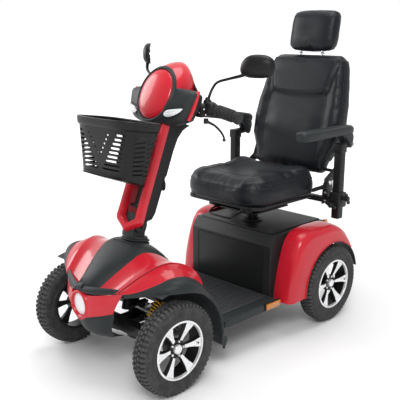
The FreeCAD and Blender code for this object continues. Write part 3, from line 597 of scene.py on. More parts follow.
def ribbed_lens(name, colour, ribs, rough=0.08, glow=0.0):
    """Lamp cover with moulded optics over a bright reflector."""
    shader = Shader(name)
    optics = shader.bands(ribs, "X") * 0.6 + shader.bands(ribs, "Z") * 0.4
    return shader.finish({
        "Base Color": shader.mix(shade(colour, 0.55), colour, optics),
        "Roughness": 0.06 + optics * rough, "Coat Weight": 1.0, "Coat Roughness": 0.03,
        "Emission Color": (*colour, 1), "Emission Strength": glow,
        "Normal": shader.bump(optics, 0.5, 0.002)})


def display_window():
    """Dark window with faint level bars."""
    shader = Shader("display_window")
    bars = shader.between(shader.bands(28, "X"), 0.55, 0.65)
    low_part = shader.between(shader.axis("Z"), 1.018, 1.019)
    lit = bars * (1 - low_part)
    return shader.finish({
        "Base Color": shader.mix((0.01, 0.014, 0.016), (0.10, 0.16, 0.15), lit),
        "Roughness": 0.12 + shader.noise(90) * 0.05, "Coat Weight": 1.0, "Coat Roughness": 0.02})


def mirror_glass():
    shader = Shader("mirror_glass")
    return shader.finish({
        "Base Color": (0.86, 0.88, 0.9, 1), "Metallic": 1.0,
        "Roughness": 0.02 + shader.noise(30) * 0.03})


RED = (0.54, 0.012, 0.025)
red = gloss_paint("red_gloss", RED)
# Darkened copy of the red: painted shade for the tiller's recess, also used on the headlamp housing.
red_painted_shade = gloss_paint("red_recess_painted_shade", shade(RED, 0.45))
charcoal = grained_plastic("charcoal_plastic", (0.021, 0.0245, 0.026))
black_plastic = grained_plastic("black_plastic", (0.0085, 0.0085, 0.009), 0.38)
box_plastic = grained_plastic("box_plastic", (0.011, 0.0115, 0.012), 0.42)
case_plastic = grained_plastic("case_plastic", (0.06, 0.06, 0.065), 0.55, 800)
black_steel = coated_steel("black_steel", (0.011, 0.011, 0.012))
zinc = bare_metal("zinc_plate", (0.62, 0.63, 0.62), 0.32)
polished = bare_metal("polished_steel", (0.85, 0.86, 0.87), 0.1)
alloy = bare_metal("cast_alloy", (0.34, 0.34, 0.35), 0.5, (300, 300, 300))
silver = silver_paint()
rubber = tyre_rubber()
leather = soft_leather()
piping = grained_plastic("seam_piping", (0.010, 0.011, 0.013), 0.42, 900)
bellows_rubber = soft_rubber("bellows_rubber", (0.016, 0.016, 0.017), 8, "Z")
grip_rubber = soft_rubber("grip_rubber", (0.013, 0.013, 0.014), 60, "X")
mat_rubber = soft_rubber("mat_rubber", (0.022, 0.023, 0.025), 25, "X")
spring_yellow = gloss_paint("spring_yellow", (0.75, 0.42, 0.012))
clear_lens = ribbed_lens("clear_lens", (0.86, 0.88, 0.9), 60, 0.1, 0.12)
amber_lens = ribbed_lens("amber_lens", (0.85, 0.27, 0.01), 90)
red_lens = ribbed_lens("red_lens", (0.55, 0.01, 0.012), 90)
display = display_window()
looking_glass = mirror_glass()
yellow_button = gloss_paint("button_yellow", (0.8, 0.45, 0.03))
white_mark = grained_plastic("white_mark", (0.7, 0.7, 0.7), 0.4, 900)


# ---- pieces ----

def settle(thing, body, replaces=()):
    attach(thing, body)
    if replaces:
        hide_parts(*replaces)
    return thing


def shaped(name, form, finishes, angle=35):
    """Object made from a form: merged, facing outwards and smooth up to an angle."""
    mesh = bpy.data.meshes.new(name)
    mesh.from_pydata([point * MM for point in form.points], [], form.faces)
    for finish in finishes:
        mesh.materials.append(finish)
    for face, look in zip(mesh.polygons, form.looks):
        face.material_index = look
    work = bmesh.new()
    work.from_mesh(mesh)
    bmesh.ops.remove_doubles(work, verts=work.verts, dist=2e-6)
    bmesh.ops.dissolve_degenerate(work, edges=work.edges, dist=1e-7)
    bmesh.ops.recalc_face_normals(work, faces=work.faces)
    work.to_mesh(mesh)
    work.free()
    mesh.shade_smooth()
    mesh.set_sharp_from_angle(angle=math.radians(angle))
    thing = bpy.data.objects.new(name, mesh)
    bpy.context.scene.collection.objects.link(thing)
    return thing


def piece(name, form, finishes, body, replaces=(), angle=35):
    finishes = finishes if isinstance(finishes, (list, tuple)) else [finishes]
    return settle(shaped(name, form, finishes, angle), body, replaces)


def bolt_head(across=7, height=5):
    """Six-sided head with a rounded top, standing on the XY plane."""
    outline = circle(across, 6)
    rings = [[(x * k, y * k, z) for x, y in outline]
             for k, z in ((1, 0), (1, height * 0.7), (0.86, height), (0.3, height))]
    return loft(rings)


# ---- wheels ----

def wheel_place(node, sign):
    """Matrix at a wheel's centre whose Z axis points outwards."""
    low, high = node_box(node)
    centre = (low + high) / 2
    turn = Matrix(((0, 0, sign), (sign, 0, 0), (0, 1, 0))).to_4x4()
    return Matrix.Translation(centre) @ turn


TYRE_LOW, TYRE_HIGH = node_box("tyre_front_left")
TYRE_RADIUS = (TYRE_HIGH.z - TYRE_LOW.z) / 2
TYRE_HALF = (TYRE_HIGH.x - TYRE_LOW.x) / 2
RIM_RADIUS = (node_box("rim_front_left")[1].z - node_box("rim_front_left")[0].z) / 2
LUG_COUNT = 56


def carcass():
    """Tyre body under its tread, with a bulged sidewall and a raised line round it."""
    crown = TYRE_RADIUS - 6
    side = [(RIM_RADIUS, 31), (RIM_RADIUS + 5, 33), (RIM_RADIUS + 16, 35.6), (RIM_RADIUS + 18, 34.6),
            (RIM_RADIUS + 34, TYRE_HALF - 0.6), (crown - 12, 34), (crown - 4, 28), (crown, 12)]
    upper = [(point.x, point.y) for point in through([(r, h, 0) for r, h in side], 3)]
    return lathe(upper + [(r, -h) for r, h in reversed(upper)], 96)


def wedge(outline, low, high, shrink):
    """Small block over an outline in the (round, across) plane, narrower at its top radius."""
    centre = Vector((sum(u for u, _ in outline) / len(outline), sum(v for _, v in outline) / len(outline)))
    top = [centre + (Vector(corner) - centre) * shrink for corner in outline]
    return loft([[(low, u, v) for u, v in outline], [(high, u, v) for u, v in top]])


def tread():
    """Two centre rows of slanted lugs and a shoulder row on each side."""
    crown = TYRE_RADIUS - 7
    centre_lug = wedge([(-6.5, 1.2), (4.5, 1.2), (7.0, 12.5), (-4.0, 12.5)], crown, TYRE_RADIUS - 0.3, 0.86)
    shoulder = loft([[(crown - 4, -5.5, 15.5), (crown - 4, 5.5, 15.5), (crown - 4, 6, 26),
                      (crown - 4, -5, 26)],
                     [(TYRE_RADIUS - 0.8, -5, 16), (TYRE_RADIUS - 0.8, 5, 16),
                      (TYRE_RADIUS - 3.5, 5.4, 26.5), (TYRE_RADIUS - 3.5, -4.6, 26.5)]])
    flank = loft([[(crown - 6, -4.5, 25), (crown - 6, 5.5, 25), (crown - 22, 4, 33.0),
                   (crown - 22, -3, 33.0)],
                  [(TYRE_RADIUS - 4, -4.5, 27), (TYRE_RADIUS - 4, 5.5, 27),
                   (TYRE_RADIUS - 24, 4, TYRE_HALF - 0.2), (TYRE_RADIUS - 24, -3, TYRE_HALF - 0.2)]])
    half = centre_lug + shoulder + flank
    half_pitch = Matrix.Rotation(math.pi / LUG_COUNT, 4, "Z")
    other = Form([(p.x, p.y, -p.z) for p in half.points], half.faces).moved(half_pitch)
    return TURNED.run(half + other, rubber, Count=LUG_COUNT)


def spoke():
    """One flared spoke: a bright machined face over black sides."""
    hub_side, rim_side = 33, RIM_RADIUS - 9
    stations = [(hub_side, 7, 7, 17), (50, 8, 8, 20), (74, 12, 9, 25), (rim_side, 20, 11, 30)]
    rings = []
    for radius, half, low, high in stations:
        rings.append([(radius, -half - 2, low), (radius, half + 2, low), (radius, half + 1, high - 2),
                      (radius, half - 1, high), (radius, -half + 1, high), (radius, -half - 1, high - 2)])
    bar = loft(rings)
    top_side = 3
    bar.looks = [1 if index % 6 == top_side and index < 18 else 0 for index in range(len(bar.faces))]
    return bar


def rim_form():
    r = RIM_RADIUS
    barrel = [(r - 9, -30), (r - 3, -33), (r, -33), (r, 33), (r - 2, 34), (r - 7, 34), (r - 8, 32),
              (r - 9, 24)]
    form = lathe(barrel, 96)
    band = len(barrel)
    form.looks = [1 if index % band in (3, 4, 5, 6) else 0 for index in range(len(form.faces))]
    hub = lathe([(0.01, -30), (30, -30), (34, -10), (36, 6), (34, 12), (24, 14), (22, 11), (0.01, 11)], 48)
    one = spoke()
    top = Form(one.points, [f for f, look in zip(one.faces, one.looks) if look])
    rest = Form(one.points, [f for f, look in zip(one.faces, one.looks) if not look])
    spokes = TURNED.run(rest, silver, Count=6) + TURNED.run(top, silver, Count=6).painted(1)
    bolt = bolt_head(4.6, 5).moved(Matrix.Translation((28, 0, 12)))
    bolts = TURNED.run(bolt, silver, Count=5).painted(1)
    cap = lathe([(0.01, 12), (17, 12), (17.5, 20), (14, 24), (0.01, 25)], 32).painted(1)
    valve = tube([(r - 14, 0, 20), (r - 20, 0, 30), (r - 24, 0, 33)], 2.6, 10).painted(0)
    return form + hub + spokes + bolts + cap + valve


def make_wheels():
    tyre_form, rim_shape = carcass() + tread(), rim_form()
    for axle in ("front", "rear"):
        for side, sign in SIDES:
            name = f"{axle}_{side}"
            place = wheel_place(f"tyre_{name}", sign)
            body = f"wheel_{name}"
            piece(f"tread_{name}", tyre_form.moved(place), rubber, body, [f"tyre_{name}"], 30)
            piece(f"wheel_disc_{name}", rim_shape.moved(place), [black_plastic, silver], body,
                  [f"rim_{name}"], 30)


# ---- nose, wings and arches ----

def make_hood():
    """Charcoal centre: bonnet from the lamp back over the crest and down to the footwell."""
    rows = [[(0, -680, 346), (20, -679, 346), (38, -675, 346), (56, -668, 346)],
            [(0, -654, 384), (24, -653, 382), (46, -648, 375), (64, -640, 366)],
            [(0, -606, 422), (30, -605, 420), (58, -601, 412), (78, -595, 401)],
            [(0, -548, 458), (36, -547, 456), (70, -546, 449), (94, -543, 438)],
            [(0, -488, 486), (42, -488, 484), (82, -489, 476), (107, -490, 461)],
            [(0, -430, 480), (50, -430, 477), (98, -432, 466), (126, -434, 448)],
            [(0, -376, 438), (60, -377, 434), (118, -381, 419), (150, -386, 400)],
            [(0, -340, 350), (70, -341, 346), (140, -346, 334), (186, -352, 322)],
            [(0, -300, 250), (80, -301, 248), (160, -306, 240), (214, -312, 236)],
            [(0, -264, 178), (90, -264, 178), (180, -266, 178), (236, -270, 178)]]
    skin = walled(patch(whole_width(rows), 4), 4, (0, -0.5, 1))
    chin = [[(0, -676, 348), (40, -672, 344), (78, -660, 340), (120, -640, 334)],
            [(0, -684, 296), (42, -678, 292), (84, -663, 290), (126, -641, 290)],
            [(0, -686, 238), (40, -678, 240), (80, -662, 246), (116, -636, 260)],
            [(0, -664, 180), (34, -659, 182), (64, -648, 188), (92, -628, 204)],
            [(0, -600, 146), (28, -600, 147), (50, -598, 151), (66, -596, 160)]]
    lower = walled(patch(whole_width(chin), 4), 4, (0, -1, -0.3))
    belly = walled(patch(whole_width([
        [(0, -600, 146), (38, -600, 148), (74, -594, 162)],
        [(0, -560, 142), (36, -560, 143), (66, -558, 150)]]), 4), 3, (0, 0, -1))
    seam = tube([(x, -492, z + 2) for x, z in ((-60, 480), (-30, 485), (0, 487), (30, 485), (60, 480))],
                1.2, 8)
    piece("bonnet", skin + lower + belly + seam, charcoal, "chassis", ["front_shroud"], 50)


CREASE = [(150, -646, 366), (166, -617, 388), (186, -574, 418), (208, -520, 444), (226, -466, 452),
          (240, -412, 436), (250, -370, 406), (258, -350, 376)]
HOOD_EDGE = [(54, -670, 347), (62, -640, 368), (78, -592, 404), (93, -540, 440), (107, -488, 463),
             (125, -434, 450), (142, -386, 412), (162, -348, 362)]
WING_EDGE = [(162, -637, 364), (212, -606, 376), (254, -562, 399), (280, -512, 418), (290, -462, 416),
             (288, -414, 394), (282, -378, 364), (277, -352, 338)]


def between_lines(first, last, share, lift):
    """Line part of the way from one line to another, raised a little."""
    return [Vector(a).lerp(Vector(b), share) + Vector((0, 0, lift)) for a, b in zip(first, last)]


def make_wings():
    """Red mudguards: an inner slope up to a crease and a full outer shoulder."""
    def band(first, last, lifts):
        shares = [(k + 1) / (len(lifts) + 1) for k in range(len(lifts))]
        lines = [first] + [between_lines(first, last, s, lift) for s, lift in zip(shares, lifts)] + [last]
        return walled(patch([list(row) for row in zip(*lines)], 4), 4, (0, 0, 1))
    inner = band(HOOD_EDGE, CREASE, (-7, -9))
    step = [Vector(p) + Vector((3, 1, -5)) for p in CREASE]
    outer = band(step, WING_EDGE, (3, 4, 2))
    hem = tube([Vector(p) + Vector((0, 0, -1)) for p in WING_EDGE], 2.6, 10)
    both = (inner + outer + hem).both_sides()
    piece("mudguards", both, red, "chassis", ["front_wings"], 40)


def make_nose():
    """Red beak round the lamp, dark brow strips over it and the lamp glass."""
    low_row = [(30, -698, 254), (60, -689, 263), (98, -670, 273), (130, -650, 283)]
    fold_row = [(50, -700, 292), (74, -693, 302), (112, -672, 314), (150, -643, 326)]
    high_row = [(44, -696, 342), (72, -686, 345), (114, -662, 352), (166, -632, 361)]
    lower = walled(patch([low_row, fold_row], 4), 5, (0, -1, 0.2))
    upper = walled(patch([fold_row, high_row], 4), 5, (0, -1, 0.2))
    side = lower + upper
    keel = [[(0, -702, 240), (14, -701, 245), (30, -698, 256)],
            [(0, -697, 250), (14, -696, 254), (30, -695, 262)]]
    tip = walled(patch(whole_width(keel), 4), 6, (0, -1, -0.5))
    ring = []
    for k in range(48):
        angle = 2 * math.pi * k / 48
        ring.append((math.cos(angle), math.sin(angle)))
    centre = Vector((0, 0, 298))
    bezel_rows = [(56, 54, -686), (53, 53, -697), (47, 50, -703), (42, 46, -704), (38, 41.5, -700),
                  (36, 39, -692)]
    rings = [[(c * rx, y, centre.z + s * rz) for c, s in ring] for rx, rz, y in bezel_rows]
    bezel = grid(rings + [rings[0]], closed_across=True)
    form = side.both_sides() + tip + bezel
    piece("nose_beak", form, red, "chassis", ["nose_panel"], 40)
    brow = [[(20, -701, 350), (66, -688, 349), (112, -666, 355), (168, -633, 363)],
            [(18, -699, 360), (66, -686, 362), (112, -663, 366), (166, -631, 369)],
            [(16, -684, 366), (60, -673, 371), (106, -654, 374), (158, -629, 375)]]
    strips = walled(patch(brow, 2), 3, (0, -1, 0.4)).both_sides()
    cap = walled(patch(whole_width([[(0, -701, 352), (16, -700, 351)], [(0, -698, 366), (12, -697, 366)],
                                    [(0, -684, 375), (10, -683, 375)]]), 4), 5, (0, -1, 0.4))
    piece("brow_strips", strips + cap, charcoal, "chassis", [], 40)
    glass_rings = [[(c * rx, y, centre.z + s * rz) for c, s in ring]
                   for rx, rz, y in ((37, 40, -690), (37, 40, -694), (31, 35, -697.5), (17, 21, -699.5),
                                     (0.01, 0.01, -700))]
    piece("lamp_glass", grid(glass_rings, closed_across=True) + loft([glass_rings[0][::-1],
          [(x, y + 2, z) for x, y, z in glass_rings[0][::-1]]]), clear_lens, "chassis",
          ["headlamp_lens"], 50)


def make_arches():
    """Charcoal lips from the wing edges to the wheel openings, with the liner behind each wheel."""
    axle = wheel_place("tyre_front_left", 1).translation
    side = node_box("arch_trims")[1].x - 3
    opening = 206
    edge = through(WING_EDGE + [(284, -332, 286), (286, -314, 206), (286, -302, 120)], 4)
    rows, liner_rows = [], []
    for k, point in enumerate(edge):
        away = Vector((0, point.y - axle.y, point.z - axle.z))
        rise = away.length - opening
        away.normalize()
        lip = Vector((point.x, axle.y, axle.z)) + away * opening
        reach = 8 + (side - 294) * smoothstep(k, 0, 12)
        rows.append([point + Vector((-24, 0, -3)), point + Vector((-1, 0, 1)),
                     point + Vector((reach * 0.55, 0, 0)) - away * rise * 0.10,
                     point + Vector((reach * 0.92, 0, 0)) - away * rise * 0.38,
                     lip + Vector((reach + 3, 0, 0)) + away * 6, lip + Vector((reach, 0, 0)),
                     lip + Vector((reach - 22, 0, 0)) + away * 3])
        wall = Vector((0, axle.y, axle.z)) + away * (opening + 7)
        liner_rows.append([(x, wall.y, wall.z) for x in (200, 260, side - 22)])
    lips = walled(patch(rows, 2), 3.5, (1, 0, 0.2))
    liner = walled(patch(liner_rows[6::2], 2), 3, (0, 0, 1))
    foot = plate([(-306, 142), (-280, 142), (-276, 128), (-292, 96), (-300, 100)], 0,
                 5).moved(side_view(side - 10))
    piece("arch_lips", (lips + liner + foot).both_sides(), charcoal, "chassis", ["arch_trims"],
          45)


def make_rear_body():
    """Seat box with chamfered shoulders, and the red covers over the rear wheels."""
    low, high = node_box("seat_box")
    half = high.x
    outline = [(low.y, 144), (low.y, 382), (low.y + 27, high.z), (446, high.z), (500, 380), (500, 300),
               (345, 300), (345, 144)]
    box = plate(outline, -half, half, 5, 3).moved(side_view())
    seam = block((-half + 40, low.y - 1.2, 150), (half - 40, low.y + 1, 372), 3)
    lid = plate([(low.y + 34, high.z - 2), (442, high.z - 2), (442, high.z + 5), (low.y + 38, high.z + 5)],
                -half + 24, half - 24, 3, 3).moved(side_view())
    ring = lathe([(31.5, high.z + 4), (46, high.z + 4), (44, high.z + 11), (33, high.z + 11)], 40)
    ring = ring.moved(Matrix.Translation((0, joint_point("seat_swivel").y, 0)))
    piece("battery_cover", box + lid + ring + seam, box_plastic, "chassis", ["seat_box"], 30)
    edge = through([(0, 101, 148), (0, 112, 236), (0, 138, 340), (0, 172, 410), (0, 226, 436),
                    (0, 320, 440),
                    (0, 410, 432), (0, 470, 394), (0, 512, 342), (0, 522, 322)], 4)
    axle = wheel_place("tyre_rear_left", 1).translation
    rows = []
    for k, point in enumerate(edge):
        share = k / (len(edge) - 1)
        away = Vector((0, point.y - axle.y, point.z - axle.z)).normalized()
        lip = Vector((0, axle.y, axle.z)) + away * (190 - 2 * share)
        flare = 6 * math.sin(math.pi * share)
        rows.append([(234, point.y, point.z - 2), (262, point.y - away.y * 0.5, point.z),
                     (296, point.y - away.y * 3, point.z - away.z * 3),
                     (320, point.y * 0.86 + lip.y * 0.14, point.z * 0.86 + lip.z * 0.14),
                     (326 + flare * 0.4, point.y * 0.5 + lip.y * 0.5, point.z * 0.5 + lip.z * 0.5),
                     (327 + flare * 0.5, lip.y * 0.85 + point.y * 0.15, lip.z * 0.85 + point.z * 0.15),
                     (331, lip.y, lip.z), (330, lip.y + away.y * 3, lip.z + away.z * 3)])
    cover = walled(patch(rows, 2), 3.5, (0.6, 0, 1))
    liner = []
    for angle in range(-8, 200, 10):
        turn = math.radians(angle)
        liner.append([(x, axle.y + 192 * math.cos(turn), axle.z + 192 * math.sin(turn))
                      for x in (234, 280, 324)])
    inside = walled(patch(liner[2:17], 2), 3, (0, 0, 1))
    piece("rear_covers", cover.both_sides(), red, "chassis", ["rear_fenders"], 40)
    piece("rear_liners", inside.both_sides(), charcoal, "chassis", [], 40)


def make_floor():
    """Footboard with a rolled edge and a ribbed mat."""
    low, high = node_box("floor_tray")
    half = high.x
    outline = [(half, -215), (half - 6, -232), (half - 46, -254), (-half + 46, -254), (-half + 6, -232),
               (-half, -215),
               (-half, high.y), (half, high.y)]
    tray = plate(outline, low.z, high.z - 2, 5, 3)
    rim = tube([(half - 8, high.y - 6, high.z - 3), (half - 8, -60, high.z - 3),
                (half - 8, -214, high.z - 3),
                (half - 20, -240, high.z - 3), (half - 52, -250, high.z - 3)], 5, 12).both_sides()
    mat_low, mat_high = node_box("floor_mat")
    piece("footboard", tray + rim, charcoal, "chassis", ["floor_tray"], 30)
    mat = block((mat_low.x - 18, mat_low.y - 6, high.z - 3),
                (mat_high.x + 18, mat_high.y + 6, high.z + 1.4), 1.5)
    rib = block((mat_low.x + 2, mat_low.y + 6, high.z + 1),
                (mat_low.x + 8, mat_high.y - 6, high.z + 3.6), 1.2)
    ribs = ROW.run(rib, mat_rubber, Count=22, Step=(19.6, 0, 0))
    piece("ribbed_mat", mat + ribs, mat_rubber, "chassis", ["floor_mat"], 35)


def make_lamps():
    """Amber side markers, top reflectors and red tail lamps; the side markers and tail lamps sit in dark
    frames.
    """
    half = node_box("floor_tray")[1].x
    side = block((half - 1, -6, 150), (half + 13, 78, 174), 3)
    top = plate([(0, 0), (26, 0), (22, 15), (3, 17)], -6, 6, 3, 3).moved(
        Matrix.Translation((230, 440, 413)) @ side_view())
    tail = block((146, 499, 314), (214, 512, 354), 4)
    frames = block((half - 2, -10, 146), (half + 6, 82, 178), 3) + block((140, 497, 308), (220, 507, 360),
                                                                         4)
    piece("side_markers", (side + top).both_sides(), amber_lens, "chassis", ["marker_lamps"])
    piece("tail_lamps", tail.both_sides(), red_lens, "chassis")
    piece("lamp_frames", frames.both_sides(), black_plastic, "chassis")


# ---- steering column and tiller ----

def make_bellows():
    """Pleated boot, its rings a little uneven as rubber folds are."""
    pleats = 6
    low, pitch = -62, 11
    outline = [(17, low - 2)]
    for k in range(pleats):
        base = low + pitch * k
        full = 61 - 1.4 * k
        outline += [(full - 9, base), (full - 2, base + 1.5), (full, base + 4), (full - 2, base + 6.5),
                    (full - 9, base + 8.5)]
    outline += [(46, low + pitch * pleats), (44, low + pitch * pleats + 5), (17, low + pitch * pleats + 6)]
    boot = lathe(outline, 64).moved(COLUMN)
    piece("pleated_boot", boot, bellows_rubber, "column", ["column_bellows"], 30)


def cover_ring(half, front, back, corner):
    """U-shaped section of a tiller cover at one height, as (x, y) from one rear edge to the other."""
    return [(-half, back), (-half, (front + back) / 2), (-half, front + corner),
            (-half + corner * 0.3, front + corner * 0.3),
            (-half + corner, front), (0, front), (half - corner, front),
            (half - corner * 0.3, front + corner * 0.3),
            (half, front + corner), (half, (front + back) / 2), (half, back)]


COVER_HALF = node_box("tiller_front_cover")[1].x


def make_tiller_covers():
    """Red front with a raised frame round a deep recess, pointed at its foot; black back."""
    length = 392
    half = COVER_HALF

    def frame_line(inset, y):
        """Left half of the raised frame's outline, from the pointed foot to the top."""
        return [(inset * 0.0, y, -34 + inset * 1.35), (half * 0.55 - inset * 0.4, y, -14 + inset * 1.2),
                (half - inset, y, 8 + inset * 0.75), (half - inset, y, 60), (half - inset - 1, y, 200),
                (half - inset - 2, y, length)]
    rows = [frame_line(0, -17), frame_line(0, -32), frame_line(2, -42), frame_line(7, -47),
            frame_line(19, -47),
            frame_line(22, -43), frame_line(26, -22)]
    loops = [[Vector(p) for p in row] for row in rows]
    skin = grid([through(row, 4) for row in loops])
    frame_skin = walled(skin, 2.5, (1, -0.2, 0)).both_sides().moved(TILLER)
    recess_rows = [[(0, -22, 4), (18, -22, 22), (36, -22, 60), (37, -22, 200), (36, -22, length)],
                   [(0, -20, 6), (10, -16, 30), (18, -14, 66), (19, -14, 200), (18, -14, length)],
                   [(0, -18, 8), (0.1, -12, 36), (0.1, -10, 70), (0.1, -10, 200), (0.1, -10, length)]]
    recess = walled(grid([through(row, 4) for row in recess_rows]), 2,
                    (0, -1, 0)).both_sides().moved(TILLER)
    # The recess is painted in the darkened red, as painted shade in its depth.
    whole = frame_skin + recess.painted(1)
    piece("tiller_front", whole, [red, red_painted_shade], "tiller", ["tiller_front_cover"], 38)
    back_rings = []
    stations = ((26, half - 6, 20), (34, half - 3, 30), (60, half - 1, 36), (150, half - 1, 37),
                (196, half - 2, 38),
                (206, half - 3, 43), (300, half - 4, 44), (350, half - 6, 50), (384, half - 8, 66),
                (402, half - 11, 84), (412, half - 15, 100))
    for height, wide, depth in stations:
        back_rings.append([(x, -y, height) for x, y in cover_ring(wide, -depth, 16, 16)])
    back = walled(grid([through(ring, 3) for ring in back_rings]), 3, (0, 1, 0)).moved(TILLER)
    neck = loft([[(x, y, z) for x, y in ellipse(hx, hy, 4, 32)] for z, hx, hy in
                 ((-46, 30, 26), (-30, 33, 28), (10, 35, 29), (40, 35, 30))]).moved(TILLER)
    piece("tiller_back", back, black_plastic, "tiller", ["tiller_rear_cover"], 40)
    piece("hinge_neck", neck, charcoal, "column", [], 40)
    hook = block((-34, -436, 808), (34, -384, 844), 4)
    piece("basket_hook", hook, black_plastic, "tiller")


def make_tilt_lever():
    rings = []
    for y, z, wide, deep in ((44, 200, 9, 4), (58, 199, 10, 4), (72, 192, 13, 6), (82, 176, 15, 6),
                             (88, 160, 14, 5), (90, 150, 9, 3)):
        rings.append([(x, y + d, z) for x, d in ellipse(wide, deep, 2.6, 20)])
    piece("tilt_paddle", loft(rings).moved(TILLER), black_plastic, "tilt_lever", ["tilt_lever"],
          50)


# ---- tiller head ----

def leaning_oval(centre, degrees, half_wide, half_tall, first, last, steps):
    """Part of an upright oval that leans back about the cross axis."""
    lean = math.radians(degrees)
    line = []
    for k in range(steps + 1):
        angle = math.radians(first + (last - first) * k / steps)
        rise = half_tall * math.sin(angle)
        line.append(Vector((half_wide * math.cos(angle), centre[0] + rise * math.sin(lean),
                            centre[1] + rise * math.cos(lean))))
    return line


SHIELD_CENTRE = (-320, 1011)
SHIELD_LEAN = 24


def make_head():
    """Dark mask with its cheeks, a ring round the oval shield, and the red crown behind it."""
    rows = [[(0, -326, 898), (40, -322, 898), (80, -312, 900), (112, -294, 906), (122, -262, 914),
             (110, -236, 916)],
            [(0, -350, 914), (52, -348, 915), (98, -338, 918), (134, -314, 920), (138, -276, 926),
             (124, -242, 930)],
            [(0, -354, 940), (60, -351, 942), (110, -339, 946), (150, -316, 950), (153, -274, 952),
             (140, -240, 954)],
            [(0, -346, 972), (62, -345, 974), (114, -334, 978), (162, -307, 986), (162, -266, 982),
             (150, -236, 978)],
            [(0, -330, 1006), (62, -329, 1006), (112, -321, 1006), (171, -292, 1016), (168, -256, 1008),
             (152, -232, 1000)],
            [(0, -318, 1030), (60, -318, 1028), (94, -310, 1030), (166, -280, 1024), (160, -248, 1014),
             (146, -228, 1006)],
            [(0, -310, 1044), (58, -309, 1040), (86, -300, 1038), (140, -262, 1028), (138, -240, 1018),
             (126, -220, 1010)]]
    skin = walled(patch(whole_width(rows), 3), 4, (0, -1, 0.3))
    hollow = leaning_oval(SHIELD_CENTRE, SHIELD_LEAN, 90, 102, 0, 360, 72)
    ring = swept(hollow, lambda run: [(u * 7.5, v * 6) for u, v in ellipse(1, 1, 3, 16)])
    piece("head_mask", skin + ring, charcoal, "tiller", ["head_shell"], 40)
    arches = [leaning_oval((-322, 1010), SHIELD_LEAN, 92, 103, -8, 188, 40),
              leaning_oval((-304, 1009), SHIELD_LEAN, 98, 115, -8, 188, 40),
              leaning_oval((-272, 1007), 20, 98, 121, -8, 188, 40),
              leaning_oval((-240, 1004), 14, 94, 123, -8, 188, 40),
              leaning_oval((-214, 1001), 8, 87, 122, -8, 188, 40),
              leaning_oval((-206, 1001), 6, 82, 116, -8, 188, 40)]
    crown = walled(grid([through(arch, 1) for arch in arches]), 4, (0, 0, 1))
    piece("head_crown", crown, red, "tiller", [], 50)
    edge = [(150, -300, 926), (160, -292, 954), (168, -283, 986), (173, -276, 1014), (168, -268, 1026)]
    strip = swept(through(edge, 6), lambda run: [(u * 7, v * 4.5) for u, v in circle(1, 14)])
    piece("head_side_strips", strip.both_sides(), red, "tiller", [], 40)
    place = Matrix.Translation((0, *SHIELD_CENTRE)) @ Matrix.Rotation(math.radians(90 - SHIELD_LEAN), 4,
                                                                      "X")
    dome = ((0.97, -6), (1.0, 0), (0.985, 5), (0.93, 9), (0.8, 14), (0.6, 18), (0.35, 21), (0.15, 22),
            (0.001, 22.3))
    rings = [[place @ Vector((x * grow, y * grow, height)) for x, y in ellipse(83, 95, 2.08, 72)]
             for grow, height in dome]
    piece("oval_shield", loft(rings), red, "tiller", ["head_cap"], 50)
    almond = [(74, -351, 950), (88, -349, 962), (116, -339, 968), (146, -322, 970), (138, -330, 956),
              (118, -342, 944), (96, -349, 938), (80, -353, 941)]
    face = through(almond, 4, closed=True)
    middle = sum((Vector(p) for p in almond), Vector()) / len(almond)
    steps = ((0, 6), (0, -1), (0.2, -4), (0.7, -6), (0.999, -6))
    rings = [[p.lerp(middle, share) + Vector((0, out, 0)) for p in face] for share, out in steps]
    piece("position_lamps", loft(rings).both_sides(), clear_lens, "tiller", ["head_lenses"],
          50)
    surround = swept(face + face[:1], lambda run: circle(2.0, 8)).both_sides()
    piece("lamp_surrounds", surround, black_plastic, "tiller", [], 40)
    make_rider_panel()


def make_rider_panel():
    """Rider's side of the head: panel, display window and push buttons."""
    rows = [[(0, -318, 902), (32, -316, 902), (60, -306, 905), (98, -276, 914)],
            [(0, -262, 928), (40, -262, 929), (84, -256, 932), (122, -240, 934)],
            [(0, -212, 958), (44, -211, 959), (92, -214, 961), (142, -236, 966)],
            [(0, -200, 1000), (46, -199, 1000), (96, -206, 1000), (146, -232, 1000)],
            [(0, -196, 1014), (40, -196, 1014), (84, -203, 1014), (128, -222, 1012)],
            [(0, -191, 1050), (28, -190, 1050), (56, -192, 1050), (80, -202, 1048)],
            [(0, -190, 1088), (20, -189, 1088), (42, -190, 1086), (60, -198, 1082)],
            [(0, -192, 1118), (10, -192, 1117), (20, -193, 1115), (30, -197, 1110)]]
    panel = walled(patch(whole_width(rows), 4), 4, (0, 1, -0.2))
    piece("rider_panel", panel, charcoal, "tiller", ["dashboard"], 45)
    tilt = Matrix.Translation((0, -190, 1030)) @ Matrix.Rotation(math.radians(-6), 4, "X")
    bezel = block((-46, -6, -30), (46, 4, 30), 3).moved(tilt)
    window = block((-39, 2, -23), (39, 5.6, 23), 1.2).moved(tilt)
    piece("display_bezel", bezel, black_plastic, "tiller", [], 35)
    piece("display_pane", window, display, "tiller", [], 35)
    key = facing((0, 0, 0), (0, 1, 0.1))
    button = lathe([(0.01, 0), (6.5, 0), (7, 2), (6.4, 5), (4, 6), (0.01, 6.2)], 24).moved(key)
    row = ROW.run(button, yellow_button, Count=4,
                  Step=(17, 0, 0)).moved(Matrix.Translation((-25.5, -192, 1076)))
    piece("push_buttons", row, yellow_button, "tiller", [], 40)


